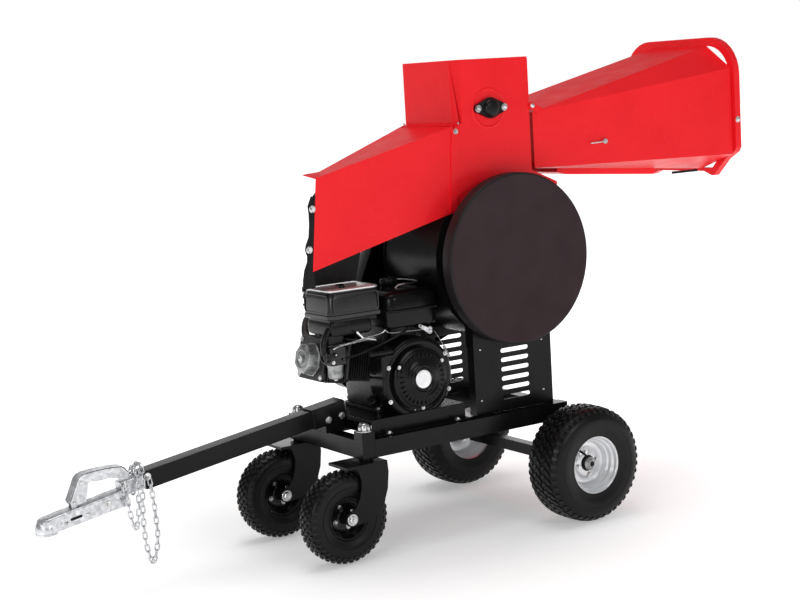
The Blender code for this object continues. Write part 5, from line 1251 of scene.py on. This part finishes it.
# a raised frame on the near face and on the left face
for outline, plane, at, d in (
    (rounded(-0.842, 0.812, -0.666, 0.876, 0.012, 6), "XZ", -0.1505, -0.0030),
    (rounded(-0.138, 0.812, 0.014, 0.876, 0.012, 6), "YZ", -0.8555, -0.0030),
):
    cx = sum(p[0] for p in outline) / len(outline)
    cz = sum(p[1] for p in outline) / len(outline)
    def ringed(k, level):
        pts = [(cx + (a - cx) * (1 - k / 0.08), cz + (b - cz) * (1 - k / 0.032)) for a, b in outline]
        return [V((a, level, b)) if plane == "XZ" else V((level, a, b)) for a, b in pts]
    rows = [ringed(0, at + 0.0025), ringed(0, at + d * 0.7), ringed(0.0006, at + d), ringed(0.0032, at + d), ringed(0.0038, at + d * 0.6), ringed(0.0038, at + 0.0025)]
    add_rings(bm, rows, 0, caps=False, wrap=True)
obj = new_piece("cleaner_case", bm, [CLEANER, PLASTIC, LID], "chassis", 32)
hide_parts("air_cleaner")
bm = bmesh.new()
knob_at = (-0.760, -0.0620, 0)
add_turned(bm, [(0, 0.8935), (0.0150, 0.8935), (0.0160, 0.8950), (0.0150, 0.8972), (0.0115, 0.8982), (0.0090, 0.8984), (0.0080, 0.8975), (0, 0.8975)], knob_at, (0, 0, 1), 32, closed=False)
add_turned(bm, [(0, 0.8920), (0.0085, 0.8920), (0.0092, 0.8935), (0.0092, 0.9010), (0.0080, 0.9025), (0, 0.9028)], (-0.7900, -0.1250, 0), (0, 0, 1), 24, closed=False)
# the elbow down to the carburettor
bend = [V((-0.845, -0.120, 0.760)), V((-0.858, -0.121, 0.745)), V((-0.868, -0.122, 0.722)), V((-0.872, -0.122, 0.700)), V((-0.868, -0.120, 0.680))]
add_tube(bm, smooth_line(bend, 0.004), 0.0115, 24)
new_piece("cleaner_knobs_and_elbow", bm, PLASTIC, "chassis", 40)

# ---------------------------------------------------------------- silencer with its guard
bm = bmesh.new()
rounded_block(bm, (-0.742, 0.133, 0.7365), (-0.582, 0.225, 0.860), [(0, 0.012), (0.03, 0.004), (0.08, 0.001), (0.46, 0), (0.475, -0.003), (0.525, -0.003), (0.54, 0), (0.92, 0.001), (0.97, 0.004), (1, 0.012)], 0.026)
add_tube(bm, smooth_line([V((-0.735, 0.172, 0.775)), V((-0.765, 0.165, 0.755)), V((-0.788, 0.140, 0.715)), V((-0.795, 0.090, 0.680))], 0.005), 0.0135, 24)
add_cylinder(bm, (-0.7380, 0.194, 0.835), (-0.7500, 0.204, 0.840), 0.0120, 24)
obj = new_piece("silencer_shell", bm, EXHAUST, "chassis", 35)
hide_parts("muffler")
bm = bmesh.new()
for k in range(7):
    x = -0.7330 + k * 0.0215
    add_box(bm, (x, 0.2275, 0.750), (x + 0.0110, 0.2290, 0.852))
for z in (0.746, 0.797, 0.8480):
    add_box(bm, (-0.7400, 0.2270, z), (-0.5820, 0.2294, z + 0.0085))
for k in range(6):
    x = -0.7290 + k * 0.0250
    add_box(bm, (x, 0.137, 0.8625), (x + 0.0120, 0.2280, 0.8643))
for y in (0.139, 0.179, 0.2190):
    add_box(bm, (-0.7400, y, 0.8620), (-0.5820, y + 0.0085, 0.8647))
for x in (-0.7400, -0.5860):
    add_box(bm, (x, 0.2250, 0.8440), (x + 0.0040, 0.2294, 0.8645))
new_piece("silencer_guard", bm, ENGINE, "chassis", 30, bevel=0.0005, segments=1)

# ---------------------------------------------------------------- carburettor, controls and linkage
bm = bmesh.new()
rounded_block(bm, (-0.861, -0.148, 0.6410), (-0.799, -0.089, 0.7040), SOFT, 0.008)
rounded_block(bm, (-0.865, -0.150, 0.7060), (-0.795, -0.085, 0.7127), [(0, 0), (0.7, 0), (1, 0.0015)], 0.010)
add_turned(bm, [(0.0180, 0.8650), (0.0230, 0.8650), (0.0240, 0.8690), (0.0230, 0.8740), (0.0180, 0.8740)], (0, -0.118, 0.673), (-1, 0, 0), 32)
add_cylinder(bm, (-0.847, -0.1470, 0.680), (-0.847, -0.1500, 0.680), 0.0070, 20)
add_cylinder(bm, (-0.7990, -0.118, 0.673), (-0.7830, -0.118, 0.673), 0.0200, 32)
add_cylinder(bm, (-0.815, -0.1470, 0.660), (-0.815, -0.1535, 0.660), 0.0050, 16)
obj = new_piece("carburettor_body", bm, ENGINE_CAST, "chassis", 32, bevel=0.0006, segments=1)
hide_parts("carburettor")
bm = bmesh.new()
add_turned(bm, [(0, 0.5930), (0.0140, 0.5932), (0.0220, 0.5960), (0.0252, 0.6020), (0.0258, 0.6100), (0.0258, 0.6340), (0.0275, 0.6350), (0.0280, 0.6380), (0.0280, 0.6420), (0, 0.6430)], (-0.830, -0.118, 0), (0, 0, 1), 48, closed=False)
new_piece("float_bowl", bm, ALLOY, "chassis", 32)
bm = bmesh.new()
add_bolt(bm, (-0.830, -0.118, 0.5931), (0, 0, -1), 0.0062)
add_bolt(bm, (-0.853, -0.1480, 0.654), (0, -1, 0), 0.0042)
add_cylinder(bm, (-0.847, -0.1490, 0.680), (-0.847, -0.1585, 0.680), 0.0030, 16)
# governor rod with an eye in the middle, and its springs
rod = [V((-0.858, -0.160, 0.7000)), V((-0.852, -0.160, 0.7025)), V((-0.745, -0.160, 0.7200)), V((-0.668, -0.160, 0.7290)), V((-0.658, -0.160, 0.7330)), V((-0.653, -0.160, 0.7370)), V((-0.648, -0.160, 0.7330)), V((-0.640, -0.160, 0.7270)), V((-0.560, -0.160, 0.7215)), V((-0.500, -0.160, 0.7190))]
add_tube(bm, smooth_line(rod, 0.004), 0.0016, 10)
add_bolt(bm, (-0.478, -0.1684, 0.7185), (0, -1, 0), 0.0058)


def spring(bm, a, b, r, turns, wire):
    a, b = V(a), V(b)
    u, v, w = frame_of(b - a)
    n = turns * 12
    points = [a]
    for i in range(n + 1):
        t = 2 * math.pi * i / 12
        points.append(a.lerp(b, 0.08 + 0.84 * i / n) + (u * math.cos(t) + v * math.sin(t)) * r)
    points.append(b)
    add_tube(bm, points, wire, 6)


spring(bm, (-0.850, -0.1640, 0.7080), (-0.690, -0.1620, 0.7190), 0.0034, 26, 0.0008)
add_plate(bm, [(-0.765, 0.747), (-0.760, 0.747), (-0.738, 0.7235), (-0.690, 0.7115), (-0.690, 0.7075), (-0.741, 0.7200), (-0.765, 0.742)], "XZ", -0.1600, -0.1585)
spring(bm, (-0.4420, -0.1915, 0.6620), (-0.4190, -0.1915, 0.6140), 0.0048, 13, 0.0009)
add_tube(bm, [V((-0.4425, -0.1915, 0.6630)), V((-0.4480, -0.1830, 0.6800)), V((-0.4540, -0.1700, 0.7000)), V((-0.4590, -0.1650, 0.7100))], 0.0012, 8)
new_piece("linkage", bm, BOLT, "chassis", 35)
bm = bmesh.new()
fuel = [V((-0.560, -0.150, 0.7380)), V((-0.575, -0.172, 0.7300)), V((-0.640, -0.178, 0.7080)), V((-0.710, -0.172, 0.6860)), V((-0.770, -0.162, 0.6700)), V((-0.806, -0.146, 0.6640))]
add_tube(bm, smooth_line(fuel, 0.006), 0.0038, 14)
new_piece("fuel_hose", bm, RUBBER, "chassis", 50)


def add_lever(bm, at, angle, reach, y0, y1, r0, r1, hole=True):
    """A flat lever turning on a stud: a rounded plate from its pivot to its tip."""
    a = math.radians(angle)
    outline = arc(0, 0, r0, 60, 300, 12) + arc(reach, 0, r1, -90, 90, 10)
    pts = [(at[0] + x * math.cos(a) - z * math.sin(a), at[1] + x * math.sin(a) + z * math.cos(a)) for x, z in outline]
    add_plate(bm, pts, "XZ", y0, y1)
    tip = (at[0] + (reach - r1 * 0.2) * math.cos(a), at[1] + (reach - r1 * 0.2) * math.sin(a))
    return tip


bm = bmesh.new()
tip = add_lever(bm, (-0.480, 0.712), 150, 0.045, -0.1725, -0.1690, 0.0095, 0.0055)
add_turned(bm, [(0.0040, 0.1690), (0.0075, 0.1690), (0.0075, 0.1745), (0.0060, 0.1755), (0.0040, 0.1755)], (-0.480, 0, 0.712), near, 24)
add_box(bm, (tip[0] - 0.0040, -0.1725, tip[1] - 0.0040), (tip[0] + 0.0040, -0.1690, tip[1] + 0.0040))
obj = new_piece("throttle_arm", bm, ZINC, "throttle", 30, bevel=0.0005, segments=1)
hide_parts("throttle_lever")
bm = bmesh.new()
tip = add_lever(bm, (-0.847, 0.680), 200, 0.030, -0.1560, -0.1515, 0.0070, 0.0045)
add_turned(bm, [(0.0032, 0.1515), (0.0062, 0.1515), (0.0062, 0.1570), (0.0050, 0.1580), (0.0032, 0.1580)], (-0.847, 0, 0.680), near, 24)
obj = new_piece("choke_arm", bm, PLASTIC, "choke", 30, bevel=0.0006, segments=1)
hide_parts("choke_lever")
bm = bmesh.new()
add_cylinder(bm, (-0.480, -0.1670, 0.712), (-0.480, -0.1765, 0.712), 0.0038, 20)
add_bolt(bm, (-0.480, -0.1757, 0.712), (0, -1, 0), 0.0055, washer=False, head=0.0032)
new_piece("throttle_stud", bm, BOLT, "chassis", 30)
# oil filler and dipstick
bm = bmesh.new()
add_tube(bm, [V((-0.6570, -0.085, 0.4760)), V((-0.675, -0.100, 0.4840)), V((-0.690, -0.112, 0.4960))], 0.0120, 24)
add_turned(bm, [(0, -0.002), (0.0150, -0.002), (0.0160, 0.000), (0.0160, 0.0080), (0.0140, 0.0100), (0, 0.0105)], (-0.690, -0.112, 0.4960), (-0.62, -0.50, 0.60), 24, closed=False)
add_box(bm, (-0.0140, -0.0025, 0.008), (0.0140, 0.0025, 0.0170), turn=Matrix.Translation((-0.690, -0.112, 0.4960)) @ V((-0.62, -0.50, 0.60)).to_track_quat("Z", "Y").to_matrix().to_4x4())
new_piece("oil_filler", bm, PLASTIC, "chassis", 35)

# ---------------------------------------------------------------- coupler and its lever
BALL = V((-1.8260, 0, 0.2620))
LATCH = (-1.7350, 0.3285)
BAR_SLOPE = math.atan(0.1475)


def bar_z(x):
    return 0.4476 + (x + 0.88) * 0.1475


bm = bmesh.new()
# the pressed channel: a bent sheet, its top rounded into its sides, narrowing onto the ball
sections = [
    (-1.8500, 0.2440, 0.2850, 0.0200), (-1.8440, 0.2450, 0.2905, 0.0270), (-1.8330, 0.2468, 0.2945, 0.0310), (-1.8150, 0.2498, 0.2980, 0.0320), (-1.7800, 0.2556, 0.3042, 0.0320),
    (-1.7300, 0.2638, 0.3130, 0.0320), (-1.6700, 0.2738, 0.3236, 0.0320), (-1.6100, 0.2836, 0.3342, 0.0320), (-1.5600, 0.2905, 0.3430, 0.0320),
]


def channel(x, low, top, half, inset):
    r = 0.0085
    h, t, b = half - inset, top - inset, low
    r = max(0.004, r - inset)
    right_side = [(h, b)] + arc(h - r, t - r, r, 0, 90, 5)
    left_side = arc(-h + r, t - r, r, 90, 180, 5) + [(-h, b)]
    return [V((x, y, z)) for y, z in right_side + left_side]


outer = [channel(x, a, b, h, 0.0) for x, a, b, h in sections]
inner = [channel(x, a, b, h, 0.0032) for x, a, b, h in sections]
rows_o = [[bm.verts.new(p) for p in ring] for ring in outer]
rows_i = [[bm.verts.new(p) for p in ring] for ring in inner]
n = len(rows_o[0])
for rows in (rows_o, rows_i):
    for a, b in zip(rows, rows[1:]):
        for i in range(n - 1):
            bm.faces.new((a[i], a[i + 1], b[i + 1], b[i]))
for o, p in zip(zip(rows_o, rows_o[1:]), zip(rows_i, rows_i[1:])):
    for i in (0, n - 1):
        bm.faces.new((o[0][i], o[1][i], p[1][i], p[0][i]))
for i in range(n - 1):
    bm.faces.new((rows_o[0][i], rows_o[0][i + 1], rows_i[0][i + 1], rows_i[0][i]))
    bm.faces.new((rows_o[-1][i], rows_o[-1][i + 1], rows_i[-1][i + 1], rows_i[-1][i]))
# the dome over the ball
dome = [(0.0262, -0.0180), (0.0262, -0.0040), (0.0250, 0.0080), (0.0200, 0.0180), (0.0110, 0.0240), (0, 0.0262), (0, 0.0340), (0.0140, 0.0312), (0.0240, 0.0242), (0.0305, 0.0150), (0.0336, 0.0050), (0.0340, -0.0060), (0.0330, -0.0180)]
add_turned(bm, dome, BALL, (0, 0, 1), 56)
add_turned(bm, [(0.0330, -0.0190), (0.0348, -0.0165), (0.0345, -0.0120), (0.0325, -0.0110)], BALL, (0, 0, 1), 56)
# the ears that hold the latch
for y in (-0.0135, 0.0085):
    add_plate(bm, arc(LATCH[0], LATCH[1], 0.0085, -10, 190, 14) + [(LATCH[0] - 0.0085, 0.3090), (LATCH[0] + 0.0085, 0.3110)], "XZ", y, y + 0.0050)
# the clamp onto the bar
neck = Matrix.Translation((-1.5050, 0, bar_z(-1.5050))) @ Matrix.Rotation(-BAR_SLOPE, 4, "Y")
rounded_block(bm, (-0.0750, -0.0255, -0.0255), (0.0450, 0.0255, 0.0195), [(0, 0.001), (0.01, 0), (0.99, 0), (1, 0.001)], 0.006, turn=neck, axis="x")
obj = new_piece("coupler_pressing", bm, ZINC, "chassis", 35)
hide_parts("coupler_body")
bm = bmesh.new()
for x, z in ((-1.7720, 0.2740), (-1.7000, 0.2880), (-1.5900, 0.3120)):
    for side in (-1, 1):
        add_turned(bm, [(0, 0.0355), (0.0030, 0.0352), (0.0055, 0.0338), (0.0068, 0.0318), (0, 0.0318)], (x, 0, z), (0, side, 0), 20, closed=False)
for side in (-1, 1):
    add_bolt(bm, (-1.6280, side * 0.0320, 0.3060), (0, side, 0), 0.0085)
add_cylinder(bm, (LATCH[0], -0.0210, LATCH[1]), (LATCH[0], 0.0210, LATCH[1]), 0.0040, 20)
for side in (-1, 1):
    add_turned(bm, [(0, 0.0216), (0.0035, 0.0215), (0.0060, 0.0205), (0.0066, 0.0186), (0, 0.0186)], (LATCH[0], 0, LATCH[1]), (0, side, 0), 20, closed=False)
new_piece("coupler_rivets", bm, BOLT, "chassis", 30)
# the slots in the coupler's sides are thin near-black patches: painted shade in place of openings
bm = bmesh.new()
for side in (-1, 1):
    turn = Matrix.Rotation(-math.atan(0.175), 4, "Y")
    add_plate(bm, rounded(-0.0200, -0.0045, 0.0200, 0.0045, 0.0044, 6), "XZ", side * 0.0316, side * 0.0323, turn=Matrix.Translation((-1.7380, 0, 0.2850)) @ turn)
new_piece("coupler_slot_shade", bm, PAINTED_HOLE_SHADE, "chassis", 30)

bm = bmesh.new()
back = [(-1.7510, 0.3345), (-1.7450, 0.3470), (-1.7370, 0.3640), (-1.7293, 0.3810), (-1.7220, 0.3980), (-1.7119, 0.4095), (-1.6960, 0.4150), (-1.6630, 0.4180), (-1.6314, 0.4192), (-1.6000, 0.4185), (-1.5716, 0.4160), (-1.5590, 0.4080), (-1.5494, 0.3944)]
lower = [(-1.7460, 0.3225), (-1.7330, 0.3205), (-1.7160, 0.3210), (-1.6980, 0.3260), (-1.6900, 0.3520), (-1.6845, 0.3800), (-1.6700, 0.3860), (-1.6590, 0.3810), (-1.6200, 0.3845), (-1.5900, 0.3790), (-1.5750, 0.3745), (-1.5600, 0.3720), (-1.5520, 0.3730)]
for s in (-1, 1):
    rows = []
    for y in (s * 0.0180, s * 0.0152):
        rows.append([[V((a[0], y, a[1])) for a in back], [V((a[0], y, a[1])) for a in lower]])
    first = [[bm.verts.new(p) for p in r] for r in rows[0]]
    second = [[bm.verts.new(p) for p in r] for r in rows[1]]
    for grid in (first, second):
        for i in range(len(back) - 1):
            bm.faces.new((grid[0][i], grid[0][i + 1], grid[1][i + 1], grid[1][i]))
    for k in (0, 1):
        for i in range(len(back) - 1):
            bm.faces.new((first[k][i], first[k][i + 1], second[k][i + 1], second[k][i]))
    for i in (0, -1):
        bm.faces.new((first[0][i], first[1][i], second[1][i], second[0][i]))
rings = []
for i, (x, z) in enumerate(back):
    a, b = back[max(0, i - 1)], back[min(len(back) - 1, i + 1)]
    d = V((b[0] - a[0], 0, b[1] - a[1])).normalized()
    nrm = V((-d.z, 0, d.x))
    p = V((x, 0, z))
    h = 0.0180
    rings.append([p + V((0, -h, 0)) - nrm * 0.004, p + V((0, -h, 0)) - nrm * 0.0014, p + V((0, -h + 0.0016, 0)), p + V((0, h - 0.0016, 0)), p + V((0, h, 0)) - nrm * 0.0014, p + V((0, h, 0)) - nrm * 0.004, p + V((0, h - 0.0028, 0)) - nrm * 0.003, p + V((0, -h + 0.0028, 0)) - nrm * 0.003])
add_rings(bm, rings)
obj = new_piece("latch_lever", bm, ZINC, "hitch_lever", 38)
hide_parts("coupler_lever")
bm = bmesh.new()
add_turned(bm, [(0, 0.0204), (0.0035, 0.0203), (0.0062, 0.0196), (0.0072, 0.0178), (0, 0.0178)], (-1.7060, 0, 0.3860), (0, -1, 0), 20, closed=False)
add_turned(bm, [(0, 0.0204), (0.0035, 0.0203), (0.0062, 0.0196), (0.0072, 0.0178), (0, 0.0178)], (-1.7060, 0, 0.3860), (0, 1, 0), 20, closed=False)
new_piece("lever_rivets", bm, BOLT, "hitch_lever", 30)
# bolts through the sleeve and the bar
bm = bmesh.new()
for x, z in ((-0.8190, 0.4400), (-0.7665, 0.4480)):
    add_bolt(bm, (x, -0.0340, z), (0, -1, 0), 0.0078)
    add_bolt(bm, (x, 0.0340, z), (0, 1, 0), 0.0078)
new_piece("bar_bolts", bm, BOLT, "chassis", 30)
